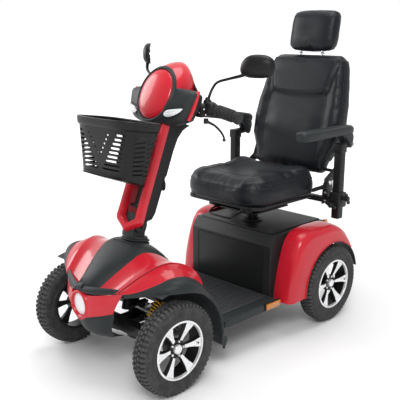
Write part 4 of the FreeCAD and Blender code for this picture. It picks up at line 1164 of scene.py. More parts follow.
def make_dial_and_key():
    axis = facing((62, -228, 966), (0, 1, 0.2))
    knob = lathe([(0.01, 0), (10.9, 0), (10.9, 28), (17, 29), (17.5, 32), (15.5, 44), (13, 47), (0.01, 47)],
                 40)
    flute = block((15.2, -1, 30), (17.9, 1, 44), 0.4, 1)
    flutes = TURNED.run(flute, black_plastic, Count=20)
    pointer = block((2, -1, 46), (13, 1, 48.5), 0.5, 1).painted(1)
    piece("speed_knob", (knob + flutes + pointer).moved(axis), [black_plastic, white_mark], "speed_dial",
          ["speed_dial"], 35)
    stem = facing((-62, -228, 966), (0, 1, 0.2))
    barrel = lathe([(0.01, 0), (8.9, 0), (8.9, 27), (8, 29), (0.01, 29)], 32).moved(stem)
    blade = block((-1.2, -5, 26), (1.2, 5, 40), 0.6, 1).moved(stem)
    bow = block((-2, -10, 38), (2, 10, 58), 1.8, 2).moved(stem).painted(1)
    piece("key", barrel + blade + bow, [zinc, black_plastic], "ignition_key", ["ignition_key"], 35)
    low, high = node_box("horn_button")
    middle = (low + high) / 2
    push = lathe([(0.01, -4), (7.9, -4), (7.9, 1), (7, 4), (4, 5), (0.01, 5.2)], 28)
    piece("horn_push", push.moved(Matrix.Translation(middle)), black_plastic, "horn_button",
          ["horn_button"], 40)


# ---- handlebar ----

GRIP_START, GRIP_END = Vector((154, -196, 962)), Vector((262, -160, 932))


def make_handlebar():
    """Bar sweeping out of the head, switch housings with their screws, and shaped grips."""
    arm = tube([(40, -266, 946), (80, -264, 952), (112, -240, 958), (136, -212, 962), (156, -195, 962)],
               [16, 19, 20, 18, 15], 24)
    inner = tube([tuple(GRIP_START), tuple(GRIP_START.lerp(GRIP_END, 0.5)), tuple(GRIP_END)], 9, 20, 3)
    arms = (arm + inner).both_sides()
    bar_middle = tube([(-60, -262, 948), (0, -262, 948), (60, -262, 948)], 11, 20, 3)
    post = block((-16, -16, 60), (16, 16, 430), 3).moved(TILLER)
    cheek = plate(ellipse(22, 26, 2.6, 24), -4, 4, 1).moved(side_view(40) @ Matrix.Translation((0, -2, 0)))
    cheeks = (cheek + block((36, -20, 18), (44, 20, 72), 1.5)).both_sides().moved(TILLER)
    cap = block((-44, -20, 62), (44, 20, 74), 2).moved(TILLER)
    piece("tiller_frame", arms + bar_middle + post + cheeks + cap, black_steel, "tiller",
          ["handlebar"], 35)
    along = (GRIP_END - GRIP_START).normalized()
    hold = facing(tuple(GRIP_START + along * -16), tuple(along))
    shape = [(0.0, 19, 19), (8, 22, 23), (20, 23, 25), (30, 22, 23), (36, 19, 20)]
    housing = loft([[(x, y, z) for x, y in ellipse(hx, hy, 3.2, 32)] for z, hx, hy in shape]).moved(hold)
    clamp = block((118, -236, 930), (150, -190, 972), 5)
    screw = bolt_head(3.2, 2.5)
    spots = [((132, -224, 972), (0, -0.3, 1)), ((144, -206, 973), (0, 0, 1)),
             ((126, -238, 955), (0, -1, 0.2)),
             ((142, -238, 948), (0, -1, 0)), ((152, -214, 940), (0.4, -0.8, -0.3)),
             ((150, -222, 960), (0.6, -0.8, 0))]
    screws = total([screw.moved(facing(spot, way)) for spot, way in spots]).painted(1)
    collar = lathe([(9, 977), (15, 977), (16, 984), (12, 992), (9, 993)], 28)
    collars = collar.moved(Matrix.Translation((142, -196, 0)))
    housings = (housing + clamp + screws + collars).both_sides()
    piece("switch_housings", housings, [black_plastic, polished], "tiller", [], 40)
    span = (GRIP_END - GRIP_START).length
    profile = [(9.2, 20), (19, 20), (21, 24), (20, 30), (21.5, 45), (22.5, 64), (21.5, 84),
               (20.5, span - 14),
               (23, span - 5), (24, span + 2), (22, span + 8), (14, span + 12), (0.01, span + 13),
               (0.01, span + 6),
               (9.2, span + 4)]
    grip = lathe(profile, 40)
    rib = lathe([(21, 0), (23.3, 0.8), (23.3, 3.2), (21, 4)], 40)
    ribs = ROW.run(rib, grip_rubber, Count=8, Step=(0, 0, 8.5)).moved(Matrix.Translation((0, 0, 34)))
    place = facing(tuple(GRIP_START), tuple(along))
    piece("ribbed_grips", (grip + ribs).moved(place).both_sides(), grip_rubber, "tiller",
          ["handgrips"], 35)
    blade = tube([(146, -210, 917), (158, -202, 910), (176, -191, 899), (192, -180, 880), (200, -172, 862),
                  (202, -170, 850)], [5.5, 5, 4.2, 4, 3.6, 3.8], 14)
    knob = lathe([(0.01, -6.5), (4, -5.5), (6.5, 0), (4, 5.5), (0.01, 6.5)],
                 20).moved(Matrix.Translation((202, -170, 848)))
    boss = lathe([(0.01, 906), (8, 906), (9, 909), (9, 922), (7, 925), (0.01, 925)], 24).moved(
        Matrix.Translation((146, -208, 0)))
    for name, sign in (("brake_lever", 1), ("throttle_lever", -1)):
        piece(f"{name}_blade", (blade + knob + boss).on_side(sign), black_steel, name,
              [name], 40)


def make_mirrors():
    """Teardrop mirrors on bent stalks, the glass set in towards the rider."""
    stalks = {"left": [(142, -196, 980), (144, -188, 1006), (148, -176, 1032), (162, -164, 1054),
                       (206, -148, 1068),
                       (250, -132, 1080), (282, -116, 1096)],
              "right": [(142, -196, 980), (144, -197, 1006), (148, -196, 1034), (168, -186, 1052),
                        (220, -160, 1066),
                        (266, -136, 1084), (290, -112, 1118)]}
    heads = {"left": ((304, -112, 1110), 18), "right": ((300, -104, 1140), -44)}
    for side, sign in SIDES:
        centre, turn = heads[side]
        stalk = tube(stalks[side], [5.5, 5, 4.6, 4.6, 5, 6, 8], 16).on_side(sign)
        foot = lathe([(0.01, 979), (9, 979), (9, 996), (6, 1001), (0.01, 1001)], 28)
        foot = foot.moved(Matrix.Translation((142 * sign, -196, 0)))
        outline = []
        for x, z in ellipse(66, 44, 2.6, 56):
            lower = max(0.0, -z / 44)
            outline.append((x * (1 - 0.16 * max(0.0, z / 44) * (x < 0)) - 6 * lower * (x < 0),
                            z * (1 - 0.14 * lower)))
        rings = []
        for grow, y in ((0.94, 14), (1.0, 11), (1.0, 4), (0.93, -4), (0.78, -11), (0.52, -16), (0.25, -18),
                        (0.001, -18.5)):
            rings.append([(x * grow, y, z * grow) for x, z in outline])
        shell = loft(rings)
        glass = loft([[(x * 0.91, y, z * 0.9) for x, z in outline] for y in (13.0, 15.2)]).painted(1)
        place = Matrix.Translation((centre[0] * sign, centre[1], centre[2])) @ Matrix.Rotation(
            math.radians(turn), 4, "Z")
        head = (shell + glass).on_side(sign)
        piece(f"mirror_body_{side}", stalk + foot + head.moved(place), [black_plastic, looking_glass],
              f"mirror_{side}", [f"mirror_{side}"], 40)


# ---- basket ----

def basket_ring(share, out=0.0):
    """Outline of the basket's wall part of the way up, from 0 at the floor to 1 at the rim."""
    half = 138 + 14 * share + out
    front = Vector((0, -574, 742)).lerp(Vector((0, -582, 944)), share)
    back = Vector((0, -484, 706)).lerp(Vector((0, -412, 920)), share)
    across = (back - front)
    ring = []
    for x, t in ellipse(half, 0.5, 4.6, 96):
        depth = 0.5 + t + math.copysign(out / across.length, t)
        bow = (1 - (x / half) ** 2) * 4 * (1 if t < 0 else 0)
        ring.append(front + across * depth + Vector((x, -bow, 0)))
    return ring


def slot_cutter(centre, length, height, tilt, along):
    """Rounded bar that cuts one slot through the wall."""
    outline = ellipse(length / 2, height / 2, 5, 16)
    turn = Matrix.Rotation(math.radians(tilt), 4, "Z")
    return plate(outline, -16, 16, 0).moved(facing(centre, along) @ turn)


def basket_slots():
    """Every slot of the tub: fans on its front, two columns on each side, wide ones at the back."""
    rows, pitch = 9, 15.5
    slots = Form()
    for k in range(rows):
        height = 898 - pitch * k
        inner, outer = 98 - 11 * k, 132 - 4 * k
        for side in (-1, 1):
            slots += slot_cutter((side * (inner + outer) / 2, -578, height), outer - inner, 8, 0,
                                 (0, -1, 0))
            fall = k / (rows - 1)
            slots += slot_cutter((side * 146, -520 - 10 * fall, height - 14), 46, 6.5, -6 * fall * side,
                                 (side, 0, 0))
            slots += slot_cutter((side * 146, -458 - 26 * fall, height - 22), 48, 6.5, 0, (side, 0, 0))
            slots += slot_cutter((side * 94, -424 - 42 * fall, height - 8), 60, 10.5, 0, (0, 1, 0))
    for k in range(5):
        for side in (-1, 1):
            slots += slot_cutter((side * (54 - 11 * k), -579, 894 - pitch * k), 8, 7, 0, (0, -1, 0))
    return slots


def make_basket():
    """Moulded tub with a rolled rim; its slots are cut through the wall."""
    shares = [0, 0.03, 0.1, 0.3, 0.5, 0.7, 0.86, 0.885, 0.93, 1.0]
    grows = [-12, -3, 0, 0.3, 0.6, 0.8, 1, 5.5, 6, 6]
    outer = [basket_ring(share, grow) for share, grow in zip(shares, grows)]
    inner = [basket_ring(share, grow - 3.2) for share, grow in zip(shares, grows)]
    inner = [[p + Vector((0, 0, 3)) for p in ring] if k < 2 else ring for k, ring in enumerate(inner)]
    tub = loft(outer + [basket_ring(1.0, 3.5)] + inner[::-1])
    slots = basket_slots()
    wall = shaped("basket_wall", tub, [black_plastic], 40)
    cutter = shaped("basket_slots", slots, [black_plastic], 40)
    carve = wall.modifiers.new("Slots", "BOOLEAN")
    carve.operation = "DIFFERENCE"
    carve.solver = "MANIFOLD"
    carve.object = cutter
    graph = bpy.context.evaluated_depsgraph_get()
    cut_mesh = bpy.data.meshes.new_from_object(wall.evaluated_get(graph))
    wall.modifiers.clear()
    wall.data = cut_mesh
    bpy.data.objects.remove(cutter)
    cut_mesh.set_sharp_from_angle(angle=math.radians(35))
    settle(wall, "basket", ["basket"])
    rim = swept([p for p in basket_ring(1.0, 2)] + [basket_ring(1.0, 2)[0]], lambda run: circle(4, 10))
    pivot = lathe([(0.01, 0), (8, 0), (8, 5), (5, 8), (0.01, 8)], 20)
    pivots = total([pivot.moved(facing((side * 152, -500, 926), (side, 0, 0.2))) for side in (-1, 1)])
    piece("basket_rim", rim + pivots, black_plastic, "basket", [], 40)


# ---- upholstery ----

def padding(form, name, voxel, frames, limit):
    """Closed form swelled like a filled cover: remeshed, inflated as cloth, and held near its shape."""
    start = shaped(name, form, [leather], 180)
    remesh = start.modifiers.new("Remesh", "REMESH")
    remesh.mode = "VOXEL"
    remesh.voxel_size = voxel * MM
    graph = bpy.context.evaluated_depsgraph_get()
    mesh = bpy.data.meshes.new_from_object(start.evaluated_get(graph))
    bpy.data.objects.remove(start)
    pad = bpy.data.objects.new(name, mesh)
    bpy.context.scene.collection.objects.link(pad)
    before = [corner.co.copy() for corner in mesh.vertices]
    cloth = pad.modifiers.new("Cover", "CLOTH")
    cloth.settings.use_pressure = True
    cloth.settings.uniform_pressure_force = 4
    cloth.settings.effector_weights.gravity = 0
    cloth.settings.quality = 4
    cloth.point_cache.frame_end = frames
    for step in range(1, frames + 1):
        bpy.context.scene.frame_set(step)
    graph = bpy.context.evaluated_depsgraph_get()
    swollen = bpy.data.meshes.new_from_object(pad.evaluated_get(graph))
    pad.modifiers.clear()
    pad.data = swollen
    bpy.context.scene.frame_set(1)
    for corner, old in zip(swollen.vertices, before):
        shift = corner.co - old
        if shift.length > limit * MM:
            corner.co = old + shift * (limit * MM / shift.length)
    return pad


def smoothed(pad, rounds, levels=1):
    """Evens out the remeshed surface and adds a subdivision."""
    work = bmesh.new()
    work.from_mesh(pad.data)
    for _ in range(rounds):
        bmesh.ops.smooth_vert(work, verts=work.verts, factor=0.5, use_axis_x=True, use_axis_y=True,
                              use_axis_z=True)
    work.to_mesh(pad.data)
    work.free()
    pad.data.materials.clear()
    pad.data.materials.append(leather)
    pad.data.shade_smooth()
    if levels:
        finer = pad.modifiers.new("Finer", "SUBSURF")
        finer.levels = levels
        finer.render_levels = levels


def pressed(pad, change):
    """Moves every point of a pad by a function of its place, all in millimetres."""
    for corner in pad.data.vertices:
        corner.co = change(corner.co / MM) * MM


def seam(name, points, pad, body, radius=1.5, proud=0.2, closed=False, finish=None):
    """Piping laid along the nearest points of a pad's surface."""
    tree = BVHTree.FromPolygons([corner.co for corner in pad.data.vertices],
                                [face.vertices for face in pad.data.polygons])
    line = []
    for point in through(points, 10, closed):
        spot, normal, _, _ = tree.find_nearest(point * MM)
        laid = (spot + normal * proud * MM) / MM
        if not line or (laid - line[-1]).length > 2:
            line.append(laid)
    if closed:
        line.append(line[0])
    form = swept(line, lambda run: circle(radius, 8))
    return piece(name, form, finish or piping, body, [], 60)


def rounded_outline(half, front, back, front_corner, back_corner, steps=8):
    """Seat outline in plan with round corners, as (x, y)."""
    outline = []
    corners = [(half - front_corner, front + front_corner, front_corner, -90),
               (half - back_corner, back - back_corner, back_corner, 0),
               (-half + back_corner, back - back_corner, back_corner, 90),
               (-half + front_corner, front + front_corner, front_corner, 180)]
    for x, y, radius, start in corners:
        for k in range(steps + 1):
            angle = math.radians(start + 90 * k / steps)
            outline.append((x + radius * math.cos(angle), y + radius * math.sin(angle)))
    return outline


def make_seat_cushion():
    """Seat pad: boxed sides, a crowned top with bolsters at its sides and a dished middle."""
    low, high = node_box("seat_cushion")
    front, back, half = low.y + 8, high.y - 4, high.x - 4
    levels = [(0.06, 14), (0.16, 4), (0.34, 0), (0.62, 0), (0.82, 5), (0.95, 17), (1.0, 36), (1.03, 70),
              (1.04, 120)]
    foot = low.z - 14
    crown = high.z + 12
    tall = crown - foot
    rings = []
    for share, inset in levels:
        outline = rounded_outline(half - inset, front + inset, back - inset, max(104 - inset * 0.5, 12),
                                  max(44 - inset * 0.4, 10))
        rings.append([(x, y, foot + tall * share) for x, y in outline])
    pad = padding(loft(rings), "seat_pad", 6.5, 16, 9)

    def dish(point):
        top = smoothstep(point.z, foot + tall * 0.75, crown - 2)
        across = abs(point.x) / half
        bolster = 9 * smoothstep(across, 0.42, 0.72) * (1 - smoothstep(across, 0.86, 1.0))
        centre_y = (front + back) / 2 + 30
        hollow = 10 * math.exp(-((point.x / 120) ** 2 + ((point.y - centre_y) / 120) ** 2))
        rise = 14 * smoothstep(point.y, back - 150, back - 50) * (1 - smoothstep(point.y, back - 40, back))
        fold = 2.0 * math.sin(point.y / 17 + point.x / 60) * math.exp(-((across - 0.62) / 0.16) ** 2)
        return point + Vector((0, 0, top * (bolster - hollow + rise + fold)))
    pressed(pad, dish)
    smoothed(pad, 2)
    settle(pad, "seat", ["seat_cushion"])
    for name, level, inset in (("seat_top_piping", crown - 14, 4), ("seat_low_piping", foot + 18, 3)):
        outline = rounded_outline(half + inset, front - inset, back + inset, 106, 44, 3)
        seam(name, [(x, y, level) for x, y in outline], pad, "seat", 1.9, 0.4, True)
    for name, side in (("seat_bolster_seam_left", 1), ("seat_bolster_seam_right", -1)):
        route = [(side * half * 0.56, front + 14, crown), (side * half * 0.60, front + 120, crown + 8),
                 (side * half * 0.58, back - 120, crown + 8), (side * half * 0.50, back - 16, crown + 4)]
        seam(name, route, pad, "seat", 1.1, 0.1)
    cross = [(-half * 0.58, front + 116, crown + 6), (0, front + 96, crown + 6),
             (half * 0.58, front + 116, crown + 6)]
    seam("seat_cross_seam", cross, pad, "seat", 1.1, 0.1)


BACK_PLACE = leaning((0, 496, 662), BACKREST_LEAN)
BACK_HALVES = [(0, 200), (30, 220), (90, 242), (170, 252), (260, 246), (350, 230), (420, 216),
               (462, 202), (486, 178)]


def back_half_width(height):
    for (h0, w0), (h1, w1) in zip(BACK_HALVES, BACK_HALVES[1:]):
        if height <= h1:
            return w0 + (w1 - w0) * max(0, height - h0) / (h1 - h0)
    return BACK_HALVES[-1][1]


def make_backrest():
    """Shaped back with a raised shoulder panel, side borders and a hard shell behind."""
    rings = []
    stations = [(-50, 0.88, 18), (-38, 0.96, 28), (0, 0.99, 36), (100, 1, 42), (180, 1, 42), (270, 1, 40),
                (360, 1, 38),
                (430, 1, 36), (462, 1, 31), (480, 0.98, 23), (488, 0.94, 14)]
    for height, share, depth in stations:
        wide = back_half_width(height) * share
        rings.append([(x, y, height) for x, y in ellipse(wide, depth, 5.0, 72)])
    pad = padding(loft(rings), "back_pad", 6.5, 16, 9)

    def shape(point):
        """Local place on the back, before it leans."""
        height, across = point.z, abs(point.x)
        frontal = smoothstep(-point.y, 14, 34)
        edge_line = 150 + 0.16 * (height - 300)
        bottom = 296 + 0.00055 * across * across
        panel = smoothstep(height, bottom - 12,
                           bottom + 8) * (1 - smoothstep(across, edge_line - 8, edge_line + 10))
        panel *= 1 - smoothstep(height, 452, 486) * 0.5
        lumbar = 10 * math.exp(-((height - 130) / 90) ** 2) * (1 - smoothstep(across, 90, 190))
        crease = 1.6 * math.sin(height / 13 + across / 40) * math.exp(-((across - 170) / 36) ** 2)
        wing = 10 * smoothstep(across, 150, 205)
        return point + Vector((0, -(panel * 14 + lumbar + crease * 0.6 + wing) * frontal, 0))
    pressed(pad, shape)
    smoothed(pad, 2)
    pad.data.transform(Matrix.Scale(MM, 4) @ BACK_PLACE @ Matrix.Scale(1 / MM, 4))
    settle(pad, "backrest", ["backrest_cushion"])

    def on_back(points):
        return [BACK_PLACE @ Vector(point) for point in points]
    collar = [(-178, -60, 478), (-172, -60, 420), (-156, -60, 350), (-128, -60, 308), (-60, -60, 297),
              (0, -60, 295),
              (60, -60, 297), (128, -60, 308), (156, -60, 350), (172, -60, 420), (178, -60, 478)]
    seam("shoulder_panel_seam", on_back(collar), pad, "backrest", 2.2, 0.4)
    for side, sign in SIDES:
        border = [(sign * 150, -70, 320), (sign * 160, -70, 220), (sign * 160, -70, 120),
                  (sign * 150, -70, 20)]
        seam(f"back_border_seam_{side}", on_back(border), pad, "backrest", 1.2, 0.2)
        edge = [(sign * 190, -34, 2), (sign * 222, -36, 60), (sign * 246, -38, 170), (sign * 240, -36, 270),
                (sign * 226, -34, 370), (sign * 206, -28, 462), (sign * 170, -24, 492)]
        seam(f"back_edge_piping_{side}", on_back(edge), pad, "backrest", 1.9, 0.5)
    shell = [[(x * 0.93, max(y, 0) + 6, height) for x,
              y in ellipse(back_half_width(height), depth + 2, 5, 48)]
             for height, depth in ((20, 30), (60, 38), (180, 42), (360, 39), (430, 35), (462, 26))]
    piece("back_shell", loft(shell).moved(BACK_PLACE), charcoal, "backrest", [], 40)
    high = node_box("backrest_frame")[1]
    rosettes = total([lathe([(0.01, 0), (15, 0), (15, 5), (11, 8), (0.01, 8)], 32).moved(
        facing((sign * (high.x - 1), joint_point("backrest_recline").y, joint_point("backrest_recline").z),
               (sign, 0, 0)))
        for _, sign in SIDES])
    piece("hinge_rosettes", rosettes, zinc, "backrest", [], 40)


def make_headrest():
    """Deep wrapped pad, wider at its middle, with end panels."""
    low, high = node_box("headrest_cushion")
    centre_y, tall = (low.y + high.y) / 2, high.z - low.z
    rings = []
    for share, wide, deep in ((0.0, 0.78, 0.5), (0.04, 0.88, 0.72), (0.13, 0.97, 0.92), (0.3, 1, 1),
                              (0.5, 1, 1),
                              (0.7, 1, 0.98), (0.86, 0.97, 0.88), (0.95, 0.9, 0.68), (1.0, 0.78, 0.42)):
        lean = (share - 0.5) * 30
        rings.append([(x, centre_y + y + lean, low.z + tall * share)
                      for x, y in ellipse((high.x - 4) * wide, 46 * deep, 3.2, 64)])
    pad = padding(loft(rings), "head_pad", 5, 14, 7)

    def shape(point):
        frontal = smoothstep(centre_y - point.y, 18, 40)
        hollow = 7 * math.exp(-((point.x / 70) ** 2 + ((point.z - (low.z + high.z) / 2) / 60) ** 2))
        return point + Vector((0, frontal * hollow, 0))
    pressed(pad, shape)
    smoothed(pad, 2)
    settle(pad, "headrest", ["headrest_cushion"])
    for side, sign in SIDES:
        ring = [(sign * (high.x - 12), centre_y + 50 * math.cos(a), (low.z + high.z) / 2 + 92 * math.sin(a))
                for a in (2 * math.pi * k / 14 for k in range(14))]
        seam(f"headrest_piping_{side}", ring, pad, "headrest", 1.6, 0.3, True)
    sleeve = lathe([(6.6, 0), (13, 0), (13, 5), (9, 8), (6.6, 8)], 28)
    x = node_box("headrest_posts")[1].x - 6
    top = BACK_PLACE @ Vector((0, 0, 490))
    sleeves = total([sleeve.moved(Matrix.Translation((sign * x, 612, top.z - 4)) @ Matrix.Rotation(
        math.radians(-9.7), 4, "X")) for _, sign in SIDES])
    piece("post_sleeves", sleeves, polished, "backrest", [], 40)


# ---- armrests and seat hardware ----

ARM_X = 300            # centre of the left armrest's column
ARM_SETBACK = 64       # from the flip pivot forward to that column
RIGHT_ARM_TILT = -9    # degrees by which the right armrest stands up at rest


def arm_pad_form():
    """Armrest moulding with a padded top, a groove along its side and a hooked hinge end."""
    low, high = node_box("armrest_left")
    centre = (low.x + high.x) / 2
    rings = []
    stations = [(low.y, 20, 14, 828), (low.y + 8, 26, 19, 829), (low.y + 26, 30, 21, 829),
                (low.y + 120, 29, 21, 829),
                (low.y + 230, 29, 21, 829), (high.y - 46, 30, 21, 829), (high.y - 16, 29, 21, 828),
                (high.y - 4, 24, 17, 827)]
    for y, half_x, half_z, z in stations:
        ring = []
        for x, up in ellipse(half_x, half_z, 3.4, 40):
            groove = 1.8 * math.exp(-((up + 3) / 2.2) ** 2) if abs(x) > half_x * 0.8 else 0
            ring.append((centre + x - math.copysign(groove, x), y, z + up))
        rings.append(ring)
    pad = loft(rings)
    outline = [(430, 812), (508, 812), (513, 796), (508, 762), (498, 752), (486, 756), (480, 774),
               (462, 796)]
    hook = total([plate(outline, -9, 9, 3).moved(side_view(centre + out)) for out in (16, -16)])
    bolt = bolt_head(8, 6).moved(facing((centre + 25, 500, 768), (1, 0, 0))).painted(1)
    return pad + hook + bolt


def make_arms():
    pad = arm_pad_form()
    pivot = joint_point("arm_flip_right")
    tilt = Matrix.Translation((0, pivot.y, pivot.z)) @ Matrix.Rotation(math.radians(RIGHT_ARM_TILT), 4,
                                                                       "X") @ \
        Matrix.Translation((0, -pivot.y, -pivot.z))
    piece("arm_pad_left", pad, [charcoal, zinc], "armrest_left", ["armrest_left"], 40)
    piece("arm_pad_right", pad.mirrored().moved(tilt), [charcoal, zinc], "armrest_right",
          ["armrest_right"], 40)
    low = node_box("arm_post_left")[0]
    centre_x, y = ARM_X, joint_point("arm_flip_left").y - ARM_SETBACK
    column = block((centre_x - 18, y - 18, low.z), (centre_x + 18, y + 18, 770), 4, 3)
    collar = block((centre_x - 21, y - 21, 738), (centre_x + 21, y + 21, 776), 4, 3)
    lug = plate([(y + 8, 752), (y + 60, 754), (y + 76, 762), (y + 74, 776), (y + 62, 782), (y + 8, 778)],
                -8, 8,
                2).moved(side_view(centre_x))
    pin = lathe([(0.01, -23), (7, -23), (7, 23), (0.01, 23)],
                24).moved(facing((centre_x, y + ARM_SETBACK, 768), (1, 0, 0)))
    holes = total([lathe([(0.01, 0), (4.5, 0), (4.5, 1.4), (0.01, 1.4)], 20).moved(
        facing((centre_x + 17.6, y, z), (1, 0, 0))) for z in range(600, 741, 28)])
    inner = block((centre_x - 13, y - 13, low.z - 1), (centre_x + 13, y + 13, low.z + 6), 2).painted(1)
    post = column + collar + lug + pin.painted(1) + holes + inner
    for side, sign in SIDES:
        piece(f"arm_column_{side}", post.on_side(sign), [black_plastic, zinc], f"arm_post_{side}",
              [f"arm_post_{side}"], 35)


def wing_knob():
    """Round hub with two wings, turned by hand."""
    hub = lathe([(0.01, 0), (11, 0), (12, 3), (11, 14), (7, 17), (0.01, 17)], 32)
    wing = plate([(-7, -24), (0, -28), (7, -24), (8, 0), (7, 24), (0, 28), (-7, 24), (-8, 0)], 4, 14, 3)
    return hub + wing


def make_seat_hardware():
    """Seat pan, arm clamps with their wing knobs, side covers over the recline hinge, slides."""
    arm_x, arm_y = ARM_X, joint_point("arm_flip_left").y - ARM_SETBACK
    pan_top = node_box("seat_cushion")[0].z
    pan = plate(rounded_outline(206, 14, 402, 50, 30), pan_top - 16, pan_top - 1, 4)
    rails = block((-106, 60, 509), (-76, 390, 538), 3) + block((76, 60, 509), (106, 390, 538), 3)
    cross = block((-300, arm_y - 15, 512), (300, arm_y + 15, 536), 4)
    web = block((-110, 60, 530), (110, 390, 540), 2)
    clamp = block((arm_x - 28, arm_y - 28, 502), (arm_x + 28, arm_y + 28, 568), 7, 3)
    stem = block((arm_x + 20, arm_y - 8, 537), (arm_x + 42, arm_y + 8, 553), 3)
    stem += block((arm_x - 8, arm_y - 46, 510), (arm_x + 8, arm_y - 20, 526), 3)
    knobs = wing_knob().moved(facing((arm_x + 40, arm_y, 545),
                                     (1, 0, 0)) @ Matrix.Rotation(0.5, 4, "Z")) + \
        wing_knob().moved(facing((arm_x, arm_y - 42, 518), (0, -1, 0)) @ Matrix.Rotation(1.2, 4, "Z"))
    bracket = plate([(398, 512), (470, 512), (470, 560), (462, 618), (444, 628), (424, 622), (404, 600),
                     (400, 560)],
                    243, 250, 1.5).moved(side_view())
    nuts = total([bolt_head(6, 5).moved(facing((249.5, y, z), (1, 0, 0)))
                  for y, z in ((412, 524), (456, 524), (456, 556), (412, 560))]).painted(1)
    pin = bolt_head(11, 8).moved(facing((249.5, 440, 600), (1, 0, 0))).painted(1)
    both = (clamp + stem + knobs + bracket + nuts + pin).both_sides()
    piece("seat_pan", pan + rails + cross + web + both, [black_steel, zinc], "seat",
          ["seat_base"], 35)
    y = joint_point("seat_swivel").y
    disc = lathe([(0.01, 486), (98, 486), (108, 488), (112, 492), (112, 496), (0.01, 496)], 64).moved(
        Matrix.Translation((0, y, 0)))
    plates = block((-112, y - 112, 489), (112, y + 112, 496), 2)
    slides = block((-96, 78, 496), (-74, 372, 508), 2) + block((74, 78, 496), (96, 372, 508), 2)
    post = lathe([(0.01, 262), (24.9, 262), (24.9, 470), (34, 474), (60, 486), (0.01, 486)], 48).moved(
        Matrix.Translation((0, y, 0)))
    piece("swivel_table", disc + plates + slides + post, black_steel, "seat_turntable",
          ["seat_turntable"], 35)
    wire = tube([(-74, 112, 503), (-72, 60, 501), (-68, 28, 490), (-50, 18, 484), (0, 16, 484),
                 (50, 18, 484),
                 (68, 28, 490), (72, 60, 501), (74, 112, 503)], 4.2, 14)
    piece("slide_bar", wire, black_steel, "slide_lever", ["slide_lever"], 50)
    paddle_rings = [[(x, y0 + d, z0 + h) for d, h in ellipse(deep, tall, 3, 20)]
                    for x, y0, z0, deep, tall in ((-112, 194, 484.5, 6, 3), (-180, 194, 485, 7, 3.5),
                                                  (-214, 194, 484, 10, 4.5), (-236, 194, 482, 12, 4.5),
                                                  (-250, 194, 480, 8, 3))]
    piece("swivel_paddle", loft(paddle_rings), black_plastic, "swivel_lever", ["swivel_lever"],
          50)
    handle_rings = [[(256 + d, y0, z0 + h) for d, h in ellipse(thick, tall, 3, 20)]
                    for y0, z0, thick, tall in ((424, 590, 4, 8), (416, 590, 5.5, 12), (400, 590, 5, 11),
                                                (360, 589, 4.5, 8),
                                                (326, 588, 5, 9), (312, 587, 4, 7))]
    boss = lathe([(0.01, 0), (12, 0), (12, 6), (9, 10), (0.01, 10)],
                 32).moved(facing((250.5, 416, 590), (1, 0, 0)))
    piece("recline_handle", loft(handle_rings) + boss, black_plastic, "recline_lever",
          ["recline_lever"], 45)
    link = plate([(424, 584), (456, 584), (530, 640), (560, 760), (540, 760), (500, 660), (424, 616)], 233,
                 241,
                 1.5).moved(side_view())
    tie = lathe([(0.01, -234), (7, -234), (7, 234), (0.01, 234)],
                24).moved(facing((0, 500, 640), (1, 0, 0)))
    piece("recline_links", link.both_sides() + tie, black_steel, "backrest",
          ["backrest_frame"], 35)


def make_suspension():
    """Coil springs over their dampers, and rubber boots on the steering joints."""
    foot, head = Vector((150, -522, 206)), Vector((150, -430, 300))
    reach = (head - foot).length
    place = facing(foot, head - foot)
    body = lathe([(0.01, 4), (6, 4), (6, 16), (10, 18), (10, 80), (8, 82), (5, 82), (5, reach - 4),
                  (0.01, reach - 4)], 28)
    seats = lathe([(9, 21), (19, 21), (20, 24), (19, 27), (9, 27)], 32) + \
        lathe([(4, reach - 27), (19, reach - 27), (20, reach - 24), (19, reach - 21), (4, reach - 21)], 32)
    eyes = total([lathe([(5.2, -5.5), (9.5, -5.5), (9.5, 5.5), (5.2, 5.5)],
                        24).moved(facing(end, (1, 0, 0)))
                  for end in (foot, head)])
    spring = COIL.run(Form([(0, 0, 0)]), spring_yellow, Turns=6.5, Radius=15.5, Height=reach - 57, Wire=2.9)
    spring = spring.moved(place @ Matrix.Translation((0, 0, 28.5)))
    both = ((body + seats).moved(place) + eyes + spring.painted(1)).both_sides()
    piece("coil_overs", both, [black_steel, spring_yellow], "front_axle", ["front_shocks"], 40)
    rod_y, rod_z = node_box("tie_rods")[0].y + 13, joint_point("tie_rod_pivot").z
    boots = total([lathe([(7, 0), (11, 1), (12, 6), (9, 12), (7, 12)],
                         24).moved(facing((x, rod_y, rod_z), (way, 0, 0)))
                   for x, way in ((214, -1), (-214, 1))])
    piece("link_boots", boots, bellows_rubber, "tie_rods", [], 40)


# ---- frame nodes that stay as they are ----

# The headlamp housing uses the darkened red that stands for painted shade.
KEPT = {"main_frame": black_steel, "headlamp_unit": red_painted_shade, "batteries": case_plastic, "transaxle": alloy,
        "front_axle_beam": black_steel, "tie_rods": zinc, "steering_column": black_steel,
        "headrest_posts": polished,
        "knuckle_left": zinc, "knuckle_right": zinc}


def finish_kept_nodes():
    for name, finish in KEPT.items():
        mesh = frame["nodes"][name].data
        mesh.materials.clear()
        mesh.materials.append(finish)


# ---- stage, light and camera ----

GROUND_HALF = 40000             # mm from the middle of the floor to its edge
BRIGHT_SIDE = (-0.70, 0.71, 0)  # the surround is brightest this way, behind the object
CAMERA_PLACE = (1.9113, -1.9637, 1.2415)
CAMERA_AIM = (0, -0.065, 0.5)
SENSOR_WIDTH, FOCAL_LENGTH = 36, 61.18
LENS_SHIFT = (-0.014, 0.0394)


def area_light(name, place, target, size, power):
    lamp = bpy.data.lights.new(name, "AREA")
    lamp.shape = "DISK"
    lamp.size = size
    lamp.energy = power
    thing = bpy.data.objects.new(name, lamp)
    thing.location = place
    thing.rotation_euler = (Vector(target) - Vector(place)).to_track_quat("-Z", "Y").to_euler()
    bpy.context.scene.collection.objects.link(thing)


